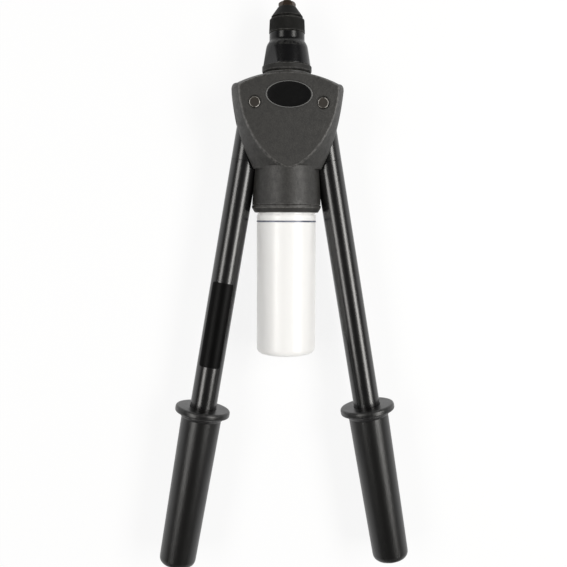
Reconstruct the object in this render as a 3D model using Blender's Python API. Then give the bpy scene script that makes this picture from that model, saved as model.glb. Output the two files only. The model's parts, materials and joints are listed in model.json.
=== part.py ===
"""Long-arm lever blind riveter: two levers pull a jaw head through toggle links.

The tool lies on its back: +X to the right, +Y towards the nose, +Z the front face.
Every length below is in millimetres, and MM turns it into metres.
Inside the file a place is given from the middle of the fulcrum pins, on the tool's axis.
"""

import math

import bmesh
import bpy
from mathutils import Matrix, Vector

MM = 0.001

# General clearances, and a length past every piece for through cuts
FIT_GAP = 0.3
PARTING_GAP = 0.3
THROUGH = 60.0

# Catch bottle for spent mandrels
BOTTLE_RADIUS = 24.2
BOTTLE_WALL = 1.7
BOTTLE_LOW_Y = -200.6
BOTTLE_CORNER = 6.0
BOTTLE_SHOULDER_Y = -86.3
BOTTLE_NECK_STEP = 0.9
BOTTLE_NECK_RADIUS = BOTTLE_RADIUS - BOTTLE_NECK_STEP
BOTTLE_MOUTH_Y = -65.3
BOTTLE_INSIDE_SLOPE_TOP = 3.0
BOTTLE_INSIDE_SLOPE_LOW = 5.0
BAND_Y = -91.7
BAND_WIDTH = 1.3
BAND_DEPTH = 0.7
BAND_GAP = 0.15

# Neck of the housing, its threaded ring, and the pivots that let the levers pass them
NECK_THREAD_GAP = 0.5
NECK_BORE = BOTTLE_NECK_RADIUS + NECK_THREAD_GAP
NECK_WALL = 4.2
NECK_TAPER = 1.2
NECK_LOW_RADIUS = NECK_BORE + NECK_WALL
NECK_TOP_RADIUS = NECK_LOW_RADIUS - NECK_TAPER
NECK_RING_PROUD = 0.2
NECK_RING_RADIUS = NECK_LOW_RADIUS + NECK_RING_PROUD
NECK_RING_FOOT_IN = 2.3
NECK_RING_FOOT_RADIUS = NECK_RING_RADIUS - NECK_RING_FOOT_IN
PIVOT_INSIDE_NECK = 1.6
PIVOT_X = NECK_RING_RADIUS - PIVOT_INSIDE_NECK

# Levers: where they turn and how far they open
ARM_ANGLE = 9.75
OPENING_ANGLE = 45.0
ARM_LENGTH = 386.5
TUBE_RADIUS = 11.0
TUBE_WALL = 1.5
TUBE_START = 44.0
SHANK_LENGTH = 40.0
TUBE_INTO_GRIP_END = 7.0
ROLL_PIN_RADIUS = 2.5
ROLL_PIN_Y = -64.0
ROLL_PIN_TOP = 6.0
FORK_BOSS_RADIUS = 12.5
FORK_EDGE = 0.8

# Grips: a sleeve with a guard flange and a bead under it
GRIP_LENGTH = 136.6
GRIP_TOP_RADIUS = 16.7
GRIP_END_RADIUS = 15.2
GRIP_END_ROUND = 4.5
GUARD_RADIUS = 22.8
GUARD_THICKNESS = 5.4
GUARD_BEAD_RADIUS = 18.3
GUARD_BEAD_THICKNESS = 2.6

# Toggle links from the forks to the crosshead
LINK_PIN_REACH = 13.0
LINK_PIN_ANGLE = 25.0
LINK_PIN_RADIUS = 3.2
LINK_HALF_THICKNESS = 4.7
LINK_EYE_RADIUS = 6.2
LINK_LOWER_EYE_RADIUS = 5.6
LINK_WAIST_HALF_WIDTH = 4.0
LINK_WAIST_STEP = 0.4
LINK_SWEEP_MARGIN = 0.7
OPEN_PIVOT_GAP = 0.9
CROSSHEAD_PIN_X = 15.0
CROSSHEAD_PIN_Y = -50.0
CROSSHEAD_PIN_RADIUS = 3.0
CROSSHEAD_PLATE_THICKNESS = 4.0
CROSSHEAD_HUB_RADIUS = 8.4
CROSSHEAD_NUT_RADIUS = 9.4
CROSSHEAD_NUT_HEIGHT = 4.0
CROSSHEAD_HALF_HEIGHT = 6.5

# Pull tube that carries the jaw head and leads spent mandrels to the bottle
PULL_TUBE_RADIUS = 6.5
PULL_TUBE_BORE = 3.6
PULL_TUBE_TAIL = 4.5
PULL_FLANGE_RADIUS = 8.2
PULL_FLANGE_THICKNESS = 3.0

# Housing shells: outline in the parting plane and the raised shield
HOUSING_WALL = 3.5
HALF_DEPTH = 27.0
FLANK_START = 12.0
FLANK_MIDDLE = 20.0
FLANK_MIDDLE_SHARE = 0.42
SHIELD_EDGE = 0.6
BODY_TOP_Y = 25.9
BODY_TOP_ARC = 92.5
SHOULDER_PAST_PIVOT = 17.9
SHOULDER_X = PIVOT_X + SHOULDER_PAST_PIVOT
SHOULDER_Y = 11.4
SHOULDER_ROUND = 4.0
BODY_WAIST_IN = 2.7
BODY_WAIST_Y = -12.0
BODY_HIP_IN = 6.7
BODY_HIP_Y = -30.0
BODY_LOW_Y = -50.0
SHIELD_TOP_Y = 23.1
SHIELD_TOP_ARC = 78.0
SHIELD_PAST_PIVOT = 12.1
SHIELD_X = PIVOT_X + SHIELD_PAST_PIVOT
SHIELD_SIDE_Y = 11.6
SHIELD_ROUND = 1.4
SHIELD_WAIST_IN = 0.4
SHIELD_WAIST_Y = -12.0
SHIELD_HIP_IN = 13.9
SHIELD_HIP_Y = -40.0
SHIELD_TIP_X = 2.0
FLANK_SLANT = 1.15
NECK_OVERLAP = 2.0
NECK_LOW_Y = -78.5
NECK_BORE_ABOVE_BODY_LOW = 8.0
COLLAR_RADIUS = 18.9
COLLAR_TOP_Y = 26.4
SEAT_RADIUS = 20.2
SEAT_WALL = 2.4
SLOT_TOP_Y = 8.0
SLOT_GAP = 0.6
SLOT_FROM_NECK = 1.5
PAST_PARTING = 5.0

# Neck ring: a threaded ring that closes the two neck halves
NECK_RING_HEIGHT = 6.1
NECK_RING_CHAMFER_HEIGHT = 3.9
NECK_RING_LIP = 0.9
NECK_TAIL_WALL = 2.1

# Fulcrum pins, their clips and the housing screws
FULCRUM_PIN_RADIUS = 4.2
FULCRUM_RUNNING_GAP = 0.4
FULCRUM_PIN_RECESS = 1.0
PIN_BOSS_RADIUS = 8.5
CLIP_RADIUS = 7.0
CLIP_THICKNESS = 1.2
CLIP_RECESS = 2.4
CLIP_SEAT = 0.6
CLIP_MOUTH = 3.2
PIN_BEVEL = 0.5
SCREW_INSIDE_PIVOT = 5.6
SCREW_X = PIVOT_X - SCREW_INSIDE_PIVOT
SCREW_Y = 15.9
SCREW_BOSS_RADIUS = 3.5
SCREW_RADIUS = 1.6
SCREW_HEAD_RADIUS = 2.9
SCREW_HEAD_HEIGHT = 2.2
SCREW_HEAD_SUNK = 0.6
SCREW_SOCKET_DEPTH = 1.4
SCREW_DEPTH = 12.0

# Oval name plate, bare
PLATE_LENGTH = 36.6
PLATE_WIDTH = 20.7
PLATE_Y = 6.05
PLATE_THICKNESS = 1.0
PLATE_PROUD = 0.3

# Barrel, its lock ring and the nose
BARREL_BORE = 11.5
BARREL_NECK_RADIUS = 15.0
BARREL_REAR_Y = 12.0
BARREL_FLANGE_RADIUS = 17.2
BARREL_FLANGE_THICKNESS = 3.6
BARREL_FLANGE_Y = 16.4
LOCK_RING_RADIUS = 19.9
LOCK_RING_HEIGHT = 5.2
LOCK_RING_EDGE = 1.2
TAPER_LOW_RADIUS = 19.1
TAPER_TOP_RADIUS = 16.4
TAPER_TOP_Y = 48.7
BARREL_FLAT_DISTANCE = 16.2
BARREL_FLAT_AZIMUTH = 58.0
BARREL_FRONT_RADIUS = 14.1
BARREL_SHOULDER_HEIGHT = 3.8
BARREL_FRONT_Y = 57.9
CAP_BAND_RADIUS = 14.4
CAP_BAND_EDGE = 0.6
CAP_BAND_TOP_Y = 68.7
CAP_GROOVE_RADIUS = 11.7
CAP_GROOVE_WIDTH = 2.0
CAP_CONE_LOW_RADIUS = 12.8
CAP_CONE_TOP_RADIUS = 7.1
CAP_TOP_Y = 78.6
CAP_BORE_DEPTH = 7.0
NOSEPIECE_THREAD_RADIUS = 4.6
NOSEPIECE_BORE = 1.7
NOSEPIECE_HEX_ACROSS = 12.0
NOSEPIECE_HEX_HEIGHT = 3.2
NOSEPIECE_ROOT_RADIUS = 5.2
NOSEPIECE_TIP_RADIUS = 2.5
NOSEPIECE_TIP_Y = 87.2
NOSEPIECE_REAR_POINT = 2.0

# Jaw head: case, three jaws, pusher and spring
CASE_GAP = 0.4
CASE_REAR_Y = 11.4
CASE_LENGTH = 37.0
CASE_MOUTH_RADIUS = 4.7
CASE_EDGE = 1.5
JAW_CONE_ANGLE = 15.0
CASE_REAR_WALL = 8.6
CASE_NUT_HEIGHT = 4.0
CASE_NUT_RADIUS = 9.4
JAW_LENGTH = 13.6
JAW_PROUD = 0.9
JAW_BORE = 1.3
JAW_SPLIT = 0.7
JAW_REAR_CHAMFER = 1.6
JAW_TRAVEL = 2.2
JAW_END_ROOM = 0.5
PUSHER_FLANGE_THICKNESS = 2.4
PUSHER_STEM_RADIUS = 4.9
PUSHER_STEM_LENGTH = 3.0
PUSHER_BORE = 3.2
SPRING_WIRE = 0.65
SPRING_TURNS = 3.5
SPRING_STEPS_PER_TURN = 12

# How finely round pieces are faceted
FINE = 36
MEDIUM = 24
COARSE = 16
SMALL = 10


def clear_scene():
    """Remove whatever the file holds."""
    for old in list(bpy.data.objects):
        bpy.data.objects.remove(old, do_unlink=True)


def finish(name, colour, metallic, roughness, alpha=1.0):
    """A Principled material with one colour."""
    material = bpy.data.materials.new(name)
    material.use_nodes = True
    shader = material.node_tree.nodes["Principled BSDF"]
    shader.inputs["Base Color"].default_value = (*colour, 1.0)
    shader.inputs["Metallic"].default_value = metallic
    shader.inputs["Roughness"].default_value = roughness
    shader.inputs["Alpha"].default_value = alpha
    material.diffuse_color = (*colour, alpha)
    return material


def mesh_object(name, points, faces):
    """An object in millimetres from points, with its faces turned outwards."""
    shape = bmesh.new()
    corners = [shape.verts.new(point) for point in points]
    for face in faces:
        shape.faces.new([corners[index] for index in face])
    bmesh.ops.recalc_face_normals(shape, faces=shape.faces)
    mesh = bpy.data.meshes.new(name)
    shape.to_mesh(mesh)
    shape.free()
    made = bpy.data.objects.new(name, mesh)
    bpy.context.scene.collection.objects.link(made)
    return made


def turned(name, profile, segments, axis="Y"):
    """Turn a closed profile of (radius, height) points round an axis."""
    points = []
    rings = []
    for radius, height in profile:
        count = segments if radius > 0.0 else 1
        rings.append([len(points) + step for step in range(count)])
        for step in range(count):
            angle = 2.0 * math.pi * step / segments
            points.append((radius * math.sin(angle), height, radius * math.cos(angle)))
    faces = []
    for low, high in zip(rings, rings[1:] + rings[:1]):
        for step in range(segments):
            after = (step + 1) % segments
            loop = [low[step % len(low)], low[after % len(low)]]
            loop += [high[after % len(high)], high[step % len(high)]]
            corners = list(dict.fromkeys(loop))
            if len(corners) > 2:
                faces.append(corners)
    if axis == "Z":
        points = [(x, -z, y) for x, y, z in points]
    return mesh_object(name, points, faces)


def rod(name, radius, low, high, segments, axis="Y"):
    """A plain cylinder between two heights."""
    profile = [(0.0, low), (radius, low), (radius, high), (0.0, high)]
    return turned(name, profile, segments, axis)


def lofted(name, rings):
    """Join rings of equal count, and close the first and the last one."""
    count = len(rings[0])
    points = [point for ring in rings for point in ring]
    faces = [list(range(count)), list(range(len(points) - count, len(points)))]
    for level in range(len(rings) - 1):
        base = level * count
        for step in range(count):
            after = (step + 1) % count
            faces.append([base + step, base + after, base + count + after, base + count + step])
    return mesh_object(name, points, faces)


def prism(name, outline, low, high):
    """Extrude an outline of (x, y) points along Z."""
    return lofted(name, [[(x, y, height) for x, y in outline] for height in (low, high)])


def box(name, low, high):
    """A box between two corners."""
    outline = [(low[0], low[1]), (high[0], low[1]), (high[0], high[1]), (low[0], high[1])]
    return prism(name, outline, low[2], high[2])


def place(made, move=(0.0, 0.0, 0.0), turn=0.0):
    """Turn a shape about Z by degrees, then move it by millimetres, within its mesh."""
    step = Matrix.Translation(move) @ Matrix.Rotation(math.radians(turn), 4, "Z")
    made.data.transform(step)
    return made


def is_closed(mesh):
    """Whether every edge of a mesh lies between exactly two faces."""
    shape = bmesh.new()
    shape.from_mesh(mesh)
    closed = all(edge.is_manifold for edge in shape.edges)
    shape.free()
    return closed


def combine(target, other, operation):
    """Apply one Boolean to the target's mesh and drop the other shape.

    The MANIFOLD solver stands in where EXACT leaves an open edge between near faces.
    """
    modifier = target.modifiers.new(operation.title(), "BOOLEAN")
    modifier.operation = operation
    modifier.object = other
    for solver in ("EXACT", "MANIFOLD"):
        modifier.solver = solver
        bpy.context.view_layer.update()
        depsgraph = bpy.context.evaluated_depsgraph_get()
        result = bpy.data.meshes.new_from_object(target.evaluated_get(depsgraph))
        if is_closed(result):
            break
    target.modifiers.clear()
    target.data = result
    bpy.data.objects.remove(other, do_unlink=True)
    return target


def add(target, *others):
    """Unite shapes with the target."""
    for other in others:
        combine(target, other, "UNION")
    return target


def cut(target, *others):
    """Cut shapes out of the target."""
    for other in others:
        combine(target, other, "DIFFERENCE")
    return target


def finished(made, name, material, parent, sharp=35.0):
    """Bring a piece to metres, name it, give it its material and parent, and shade it smooth."""
    made.data.transform(Matrix.Scale(MM, 4))
    made.name = name
    made.data.name = name
    made.data.materials.clear()
    made.data.materials.append(material)
    made.data.shade_smooth()
    made.data.set_sharp_from_angle(angle=math.radians(sharp))
    made.parent = parent
    return made


def marker(name, parent, move=(0.0, 0.0, 0.0), turn=0.0):
    """An empty that carries pieces, on the axis that they turn about."""
    empty = bpy.data.objects.new(name, None)
    empty.empty_display_size = 0.01
    empty.location = Vector(move) * MM
    empty.rotation_euler = (0.0, 0.0, math.radians(turn))
    empty.parent = parent
    bpy.context.scene.collection.objects.link(empty)
    return empty


def polygon_radius(across, sides):
    """Corner radius of a regular polygon with this size across its flats."""
    return across / 2.0 / math.cos(math.pi / sides)


def arc_points(centre, radius, start, end, count):
    """Points along an arc, with angles in degrees from +X."""
    angles = [math.radians(start + (end - start) * step / (count - 1)) for step in range(count)]
    return [(centre[0] + radius * math.cos(a), centre[1] + radius * math.sin(a)) for a in angles]


def bezier_points(start, first, second, end, count):
    """Points along a cubic curve, without its last point."""
    points = []
    for step in range(count):
        t = step / count
        weights = ((1 - t) ** 3, 3 * t * (1 - t) ** 2, 3 * t * t * (1 - t), t ** 3)
        corners = (start, first, second, end)
        points.append(tuple(sum(w * c[axis] for w, c in zip(weights, corners)) for axis in (0, 1)))
    return points


# Linkage: the link pin turns with the lever and drives the crosshead along the axis


def link_pin_place(opening):
    """Link pin of the right lever, opened by some degrees."""
    angle = math.radians(ARM_ANGLE + LINK_PIN_ANGLE + opening)
    return (PIVOT_X + LINK_PIN_REACH * math.sin(angle), -LINK_PIN_REACH * math.cos(angle))


REST_LINK_PIN = link_pin_place(0.0)
LINK_LENGTH = math.hypot(REST_LINK_PIN[0] - CROSSHEAD_PIN_X, REST_LINK_PIN[1] - CROSSHEAD_PIN_Y)


def link_lean(opening):
    """How far the right link leans inwards from straight back, in degrees."""
    return math.degrees(math.asin((link_pin_place(opening)[0] - CROSSHEAD_PIN_X) / LINK_LENGTH))


def crosshead_y(opening):
    """Place of the crosshead pins along the axis."""
    return link_pin_place(opening)[1] - LINK_LENGTH * math.cos(math.radians(link_lean(opening)))


STROKE = crosshead_y(OPENING_ANGLE) - CROSSHEAD_PIN_Y
GRIP_LOW_Y = -(
    (ARM_LENGTH - GRIP_END_ROUND) * math.cos(math.radians(ARM_ANGLE))
    + (GRIP_END_RADIUS - GRIP_END_ROUND) * math.sin(math.radians(ARM_ANGLE))
    + GRIP_END_ROUND
)
FULCRUM_FROM_ORIGIN = -(NOSEPIECE_TIP_Y + GRIP_LOW_Y) / 2.0
AXIS_HEIGHT = NECK_RING_RADIUS
FORK_HALF_THICKNESS = TUBE_RADIUS
CHEEK_INNER = LINK_HALF_THICKNESS + FIT_GAP
CROSSHEAD_LOW_Y = CROSSHEAD_PIN_Y - CROSSHEAD_HALF_HEIGHT
CROSSHEAD_HIGH_Y = CROSSHEAD_PIN_Y + CROSSHEAD_HALF_HEIGHT
CASE_FRONT_Y = CASE_REAR_Y + CASE_LENGTH
CASE_RADIUS = BARREL_BORE - CASE_GAP
CASE_SHOULDER_Y = CASE_REAR_Y + CASE_REAR_WALL
JAW_TIP_Y = CASE_FRONT_Y + JAW_PROUD
JAW_TAIL_Y = JAW_TIP_Y - JAW_LENGTH
CONE_SLOPE = math.tan(math.radians(JAW_CONE_ANGLE))
CONE_GAP = FIT_GAP / math.cos(math.radians(JAW_CONE_ANGLE))
CONE_LOW_Y = JAW_TAIL_Y - JAW_TRAVEL - JAW_END_ROOM
CASE_WELL_RADIUS = CASE_MOUTH_RADIUS + CONE_SLOPE * (CASE_FRONT_Y - CONE_LOW_Y)


def cone_radius(y):
    """Radius of the jaws' cone inside the case, at a height along the axis."""
    return CASE_MOUTH_RADIUS + CONE_SLOPE * (CASE_FRONT_Y - y)


def top_arc(apex, radius, half_width, count):
    """Half of a crowned top edge, from the middle outwards."""
    points = []
    for step in range(count):
        x = half_width * step / (count - 1)
        points.append((x, apex - radius + math.sqrt(radius * radius - x * x)))
    return points


def rounded_corner(start, corner, end, count):
    """Inner points of a round corner between two edges."""
    points = []
    for step in range(1, count + 1):
        t = step / (count + 1)
        weights = ((1 - t) ** 2, 2 * t * (1 - t), t * t)
        points.append(tuple(sum(w * c[axis] for w, c in zip(weights, (start, corner, end)))
                            for axis in (0, 1)))
    return points


def mirrored(half):
    """Close a half outline, from the top middle to the bottom middle, with its mirror image."""
    inner = [(-x, y) for x, y in reversed(half) if x > 1e-6]
    return half + inner


def body_outline(shrink=0.0):
    """Outer outline of the housing in the parting plane, made smaller all round by a distance."""
    half_width = SHOULDER_X - shrink
    shoulder = (half_width, SHOULDER_Y - shrink)
    top = top_arc(BODY_TOP_Y - shrink, BODY_TOP_ARC - shrink, half_width - SHOULDER_ROUND, 6)
    corner = rounded_corner(top[-1], (half_width, top[-1][1]), shoulder, 3)
    end = (NECK_TOP_RADIUS + FIT_GAP - FLANK_SLANT * shrink, BODY_LOW_Y + shrink)
    first = (half_width - BODY_WAIST_IN, BODY_WAIST_Y)
    second = (SHOULDER_X - BODY_HIP_IN - FLANK_SLANT * shrink, BODY_HIP_Y)
    side = bezier_points(shoulder, first, second, end, 8)
    return mirrored(top + corner + side + [end, (0.0, BODY_LOW_Y + shrink)])


def shield_outline(shrink=0.0):
    """Outline of the raised flat shield, with as many points as the body's outline."""
    half_width = SHIELD_X - shrink
    shoulder = (half_width, SHIELD_SIDE_Y - shrink)
    top = top_arc(SHIELD_TOP_Y - shrink, SHIELD_TOP_ARC - shrink, half_width - SHIELD_ROUND, 6)
    corner = rounded_corner(top[-1], (half_width, top[-1][1]), shoulder, 3)
    end = (SHIELD_TIP_X, BODY_LOW_Y + FLANK_SLANT * shrink)
    first = (half_width - SHIELD_WAIST_IN, SHIELD_WAIST_Y)
    second = (SHIELD_X - SHIELD_HIP_IN - FLANK_SLANT * shrink, SHIELD_HIP_Y)
    side = bezier_points(shoulder, first, second, end, 8)
    return mirrored(top + corner + side + [end, (0.0, end[1])])


def blended(first, second, share):
    """Outline between two others."""
    return [tuple(a + (b - a) * share for a, b in zip(p, q)) for p, q in zip(first, second)]


def levels(outlines):
    """Rings of points from pairs of outline and height."""
    return [[(x, y, height) for x, y in outline] for outline, height in outlines]


def housing_block():
    """Solid outside of one housing half: straight sides, a round flank and the flat shield."""
    body = body_outline()
    shield = shield_outline()
    middle = blended(body, shield, FLANK_MIDDLE_SHARE)
    rings = [(body, -1.0), (body, FLANK_START), (middle, FLANK_MIDDLE)]
    rings += [(shield, HALF_DEPTH - SHIELD_EDGE), (shield_outline(SHIELD_EDGE), HALF_DEPTH)]
    return lofted("block", levels(rings))


def housing_hollow():
    """Inside of one housing half, a wall thickness within the block."""
    body = body_outline(HOUSING_WALL)
    shield = shield_outline(HOUSING_WALL)
    middle = blended(body, shield, FLANK_MIDDLE_SHARE)
    rings = [(body, -2.0), (body, FLANK_START - 1.0), (middle, FLANK_MIDDLE - HOUSING_WALL / 2.0)]
    rings += [(shield, HALF_DEPTH - HOUSING_WALL)]
    return lofted("hollow", levels(rings))


def neck_profile():
    """Outside of the round neck, and the threaded tail under it."""
    tail = NECK_BORE + NECK_TAIL_WALL
    low = NECK_LOW_Y - NECK_RING_HEIGHT + NECK_RING_LIP + 2.0 * FIT_GAP
    start = BODY_LOW_Y + NECK_OVERLAP
    return [(0.0, start), (NECK_TOP_RADIUS, start), (NECK_TOP_RADIUS, BODY_LOW_Y - NECK_OVERLAP),
            (NECK_LOW_RADIUS, NECK_LOW_Y), (tail, NECK_LOW_Y), (tail, low), (0.0, low)]


def arm_clearance(side):
    """Round channel in which a closed lever nests beside the neck."""
    channel = rod("channel", TUBE_RADIUS + SLOT_GAP, -2.0 * TUBE_START, 0.0, MEDIUM)
    return place(channel, (side * PIVOT_X, 0.0, 0.0), side * ARM_ANGLE)


def housing_shell(name, front, material, parent):
    """One die-cast half of the housing, with its bosses, seats, slots and holes."""
    shell = housing_block()
    add(shell, rod("collar", COLLAR_RADIUS, BARREL_FLANGE_Y, COLLAR_TOP_Y, FINE))
    add(shell, turned("neck", neck_profile(), FINE))
    cut(shell, housing_hollow())
    bore_top = BODY_LOW_Y + NECK_BORE_ABOVE_BODY_LOW
    cut(shell, rod("bore", NECK_BORE, NECK_LOW_Y - THROUGH, bore_top, FINE))
    pocket_low = BARREL_FLANGE_Y - FIT_GAP
    pocket_top = BARREL_FLANGE_Y + BARREL_FLANGE_THICKNESS + FIT_GAP
    add(shell, rod("seat", SEAT_RADIUS, pocket_low - SEAT_WALL, BODY_TOP_Y - 1.0, FINE))
    boss_low = FORK_HALF_THICKNESS + FIT_GAP
    boss_top = HALF_DEPTH - HOUSING_WALL / 2.0
    for side in (-1, 1):
        boss = rod("boss", PIN_BOSS_RADIUS, boss_low, boss_top, COARSE, "Z")
        add(shell, place(boss, (side * PIVOT_X, 0.0, 0.0)))
        post = rod("post", SCREW_BOSS_RADIUS, -PAST_PARTING, boss_top, SMALL, "Z")
        add(shell, place(post, (side * SCREW_X, SCREW_Y, 0.0)))
    cut(shell, rod("bore", BARREL_NECK_RADIUS + FIT_GAP, 0.0, THROUGH, FINE))
    cut(shell, rod("pocket", BARREL_FLANGE_RADIUS + FIT_GAP, pocket_low, pocket_top, FINE))
    for side in (-1, 1):
        lever_room(shell, side)
        if front:
            screw_depth = SCREW_DEPTH + 1.0
        else:
            screw_depth = THROUGH
            head_seat = HALF_DEPTH - SCREW_HEAD_HEIGHT - SCREW_HEAD_SUNK
            sink = rod("sink", SCREW_HEAD_RADIUS + FIT_GAP, head_seat, THROUGH, SMALL, "Z")
            cut(shell, place(sink, (side * SCREW_X, SCREW_Y, 0.0)))
            clip_seat = HALF_DEPTH - CLIP_RECESS
            sink = rod("sink", CLIP_RADIUS + FIT_GAP, clip_seat, THROUGH, COARSE, "Z")
            cut(shell, place(sink, (side * PIVOT_X, 0.0, 0.0)))
        hole = rod("hole", SCREW_RADIUS + FIT_GAP, -2.0 * PAST_PARTING, screw_depth, SMALL, "Z")
        cut(shell, place(hole, (side * SCREW_X, SCREW_Y, 0.0)))
    if front:
        floor = HALF_DEPTH + PLATE_PROUD - PLATE_THICKNESS - FIT_GAP
        cut(shell, oval("recess", FIT_GAP, floor, THROUGH))
    keep_low = (-2.0 * THROUGH, -3.0 * THROUGH, PARTING_GAP / 2.0)
    keep_high = (2.0 * THROUGH, 2.0 * THROUGH, THROUGH)
    combine(shell, box("keep", keep_low, keep_high), "INTERSECT")
    if not front:
        shell.data.transform(Matrix.Scale(-1.0, 4, (0.0, 0.0, 1.0)))
        shell.data.flip_normals()
    return finished(shell, name, material, parent)


def lever_room(shell, side):
    """Cut the side slot, the fork's round room, the nest beside the neck and the pin's hole."""
    depth = FORK_HALF_THICKNESS + SLOT_GAP
    near, far = sorted((side * (NECK_TOP_RADIUS + SLOT_FROM_NECK), side * THROUGH))
    slot = box("slot", (near, BODY_LOW_Y - PAST_PARTING, -THROUGH), (far, SLOT_TOP_Y, depth))
    cut(shell, slot)
    sweep = rod("sweep", FORK_BOSS_RADIUS + SLOT_GAP, -THROUGH, depth, MEDIUM, "Z")
    cut(shell, place(sweep, (side * PIVOT_X, 0.0, 0.0)))
    cut(shell, arm_clearance(side))
    hole = rod("hole", FULCRUM_PIN_RADIUS + FULCRUM_RUNNING_GAP, 0.0, THROUGH, COARSE, "Z")
    cut(shell, place(hole, (side * PIVOT_X, 0.0, 0.0)))


def oval(name, grow, low, high):
    """The name plate's oval, grown all round, between two heights."""
    outline = []
    for step in range(MEDIUM):
        angle = 2.0 * math.pi * step / MEDIUM
        x = (PLATE_LENGTH / 2.0 + grow) * math.cos(angle)
        outline.append((x, PLATE_Y + (PLATE_WIDTH / 2.0 + grow) * math.sin(angle)))
    return prism(name, outline, low, high)


def name_plate(material, parent):
    """Bare oval plate in its recess on the shield."""
    top = HALF_DEPTH + PLATE_PROUD
    return finished(oval("plate", 0.0, top - PLATE_THICKNESS, top), "name_plate", material, parent)


def neck_ring(material, parent):
    """Threaded ring round the tail of both neck halves, with a chamfered foot and a lip inside."""
    inner = NECK_BORE + NECK_TAIL_WALL + FIT_GAP
    lip = BOTTLE_RADIUS + 2.0 * FIT_GAP
    top = NECK_LOW_Y - FIT_GAP
    foot = NECK_LOW_Y - NECK_RING_HEIGHT
    profile = [(NECK_RING_RADIUS, top), (NECK_RING_RADIUS, foot + NECK_RING_CHAMFER_HEIGHT),
               (NECK_RING_FOOT_RADIUS, foot), (lip, foot), (lip, foot + NECK_RING_LIP),
               (inner, foot + NECK_RING_LIP), (inner, top)]
    return finished(turned("ring", profile, FINE), "neck_ring", material, parent)


def fulcrum_pin(word, material, clip_material, parent):
    """Pin that a lever turns on, and the open clip in its groove at the back."""
    top = HALF_DEPTH - FULCRUM_PIN_RECESS
    clip_near = -(HALF_DEPTH - CLIP_RECESS) - FIT_GAP
    clip_far = clip_near - CLIP_THICKNESS
    groove_near = clip_near + CLIP_SEAT / 4.0
    groove_far = clip_far - CLIP_SEAT / 4.0
    radius = FULCRUM_PIN_RADIUS
    groove = radius - CLIP_SEAT
    low = clip_far - CLIP_SEAT
    profile = [(0.0, top), (radius - PIN_BEVEL, top), (radius, top - PIN_BEVEL),
               (radius, groove_near), (groove, groove_near), (groove, groove_far),
               (radius, groove_far), (radius, low), (0.0, low)]
    finished(turned("pin", profile, COARSE, "Z"), word + "_fulcrum_pin", material, parent)
    hole = groove + FIT_GAP
    ring = [(CLIP_RADIUS, clip_near), (CLIP_RADIUS, clip_far), (hole, clip_far), (hole, clip_near)]
    clip = turned("clip", ring, COARSE, "Z")
    half = CLIP_MOUTH / 2.0
    cut(clip, box("mouth", (-half, -2.0 * CLIP_RADIUS, -THROUGH), (half, 0.0, THROUGH)))
    return finished(clip, word + "_pin_clip", clip_material, parent)


def housing_screw(side, word, material, parent):
    """Socket screw that goes in from the back of the housing."""
    seat = -(HALF_DEPTH - SCREW_HEAD_HEIGHT - SCREW_HEAD_SUNK) - FIT_GAP
    head = seat - SCREW_HEAD_HEIGHT
    bevel = PIN_BEVEL
    profile = [(0.0, SCREW_DEPTH), (SCREW_RADIUS, SCREW_DEPTH), (SCREW_RADIUS, seat),
               (SCREW_HEAD_RADIUS, seat), (SCREW_HEAD_RADIUS, head + bevel),
               (SCREW_HEAD_RADIUS - bevel, head), (0.0, head)]
    screw = turned("screw", profile, SMALL, "Z")
    socket_floor = head + SCREW_SOCKET_DEPTH
    cut(screw, rod("socket", SCREW_HEAD_RADIUS / 2.0, -THROUGH, socket_floor, 6, "Z"))
    place(screw, (side * SCREW_X, SCREW_Y, 0.0))
    return finished(screw, "housing_screw_" + word, material, parent)


def link_slot():
    """Wedge that the right link sweeps in the fork, in the lever's own axes."""
    pin = (LINK_PIN_REACH * math.sin(math.radians(LINK_PIN_ANGLE)),
           -LINK_PIN_REACH * math.cos(math.radians(LINK_PIN_ANGLE)))
    closed = math.radians(ARM_ANGLE + link_lean(0.0))
    opened = math.radians(ARM_ANGLE + OPENING_ANGLE + link_lean(OPENING_ANGLE))
    margin = LINK_WAIST_HALF_WIDTH + LINK_SWEEP_MARGIN
    outline = []
    for angle, sign, far in ((closed, 1, 0), (closed, 1, 1), (opened, -1, 1), (opened, -1, 0)):
        along = Vector((-math.sin(angle), -math.cos(angle)))
        across = Vector((math.cos(angle), -math.sin(angle))) * sign
        outline.append(tuple(Vector(pin) + across * margin + along * THROUGH * far))
    return outline, pin


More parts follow.
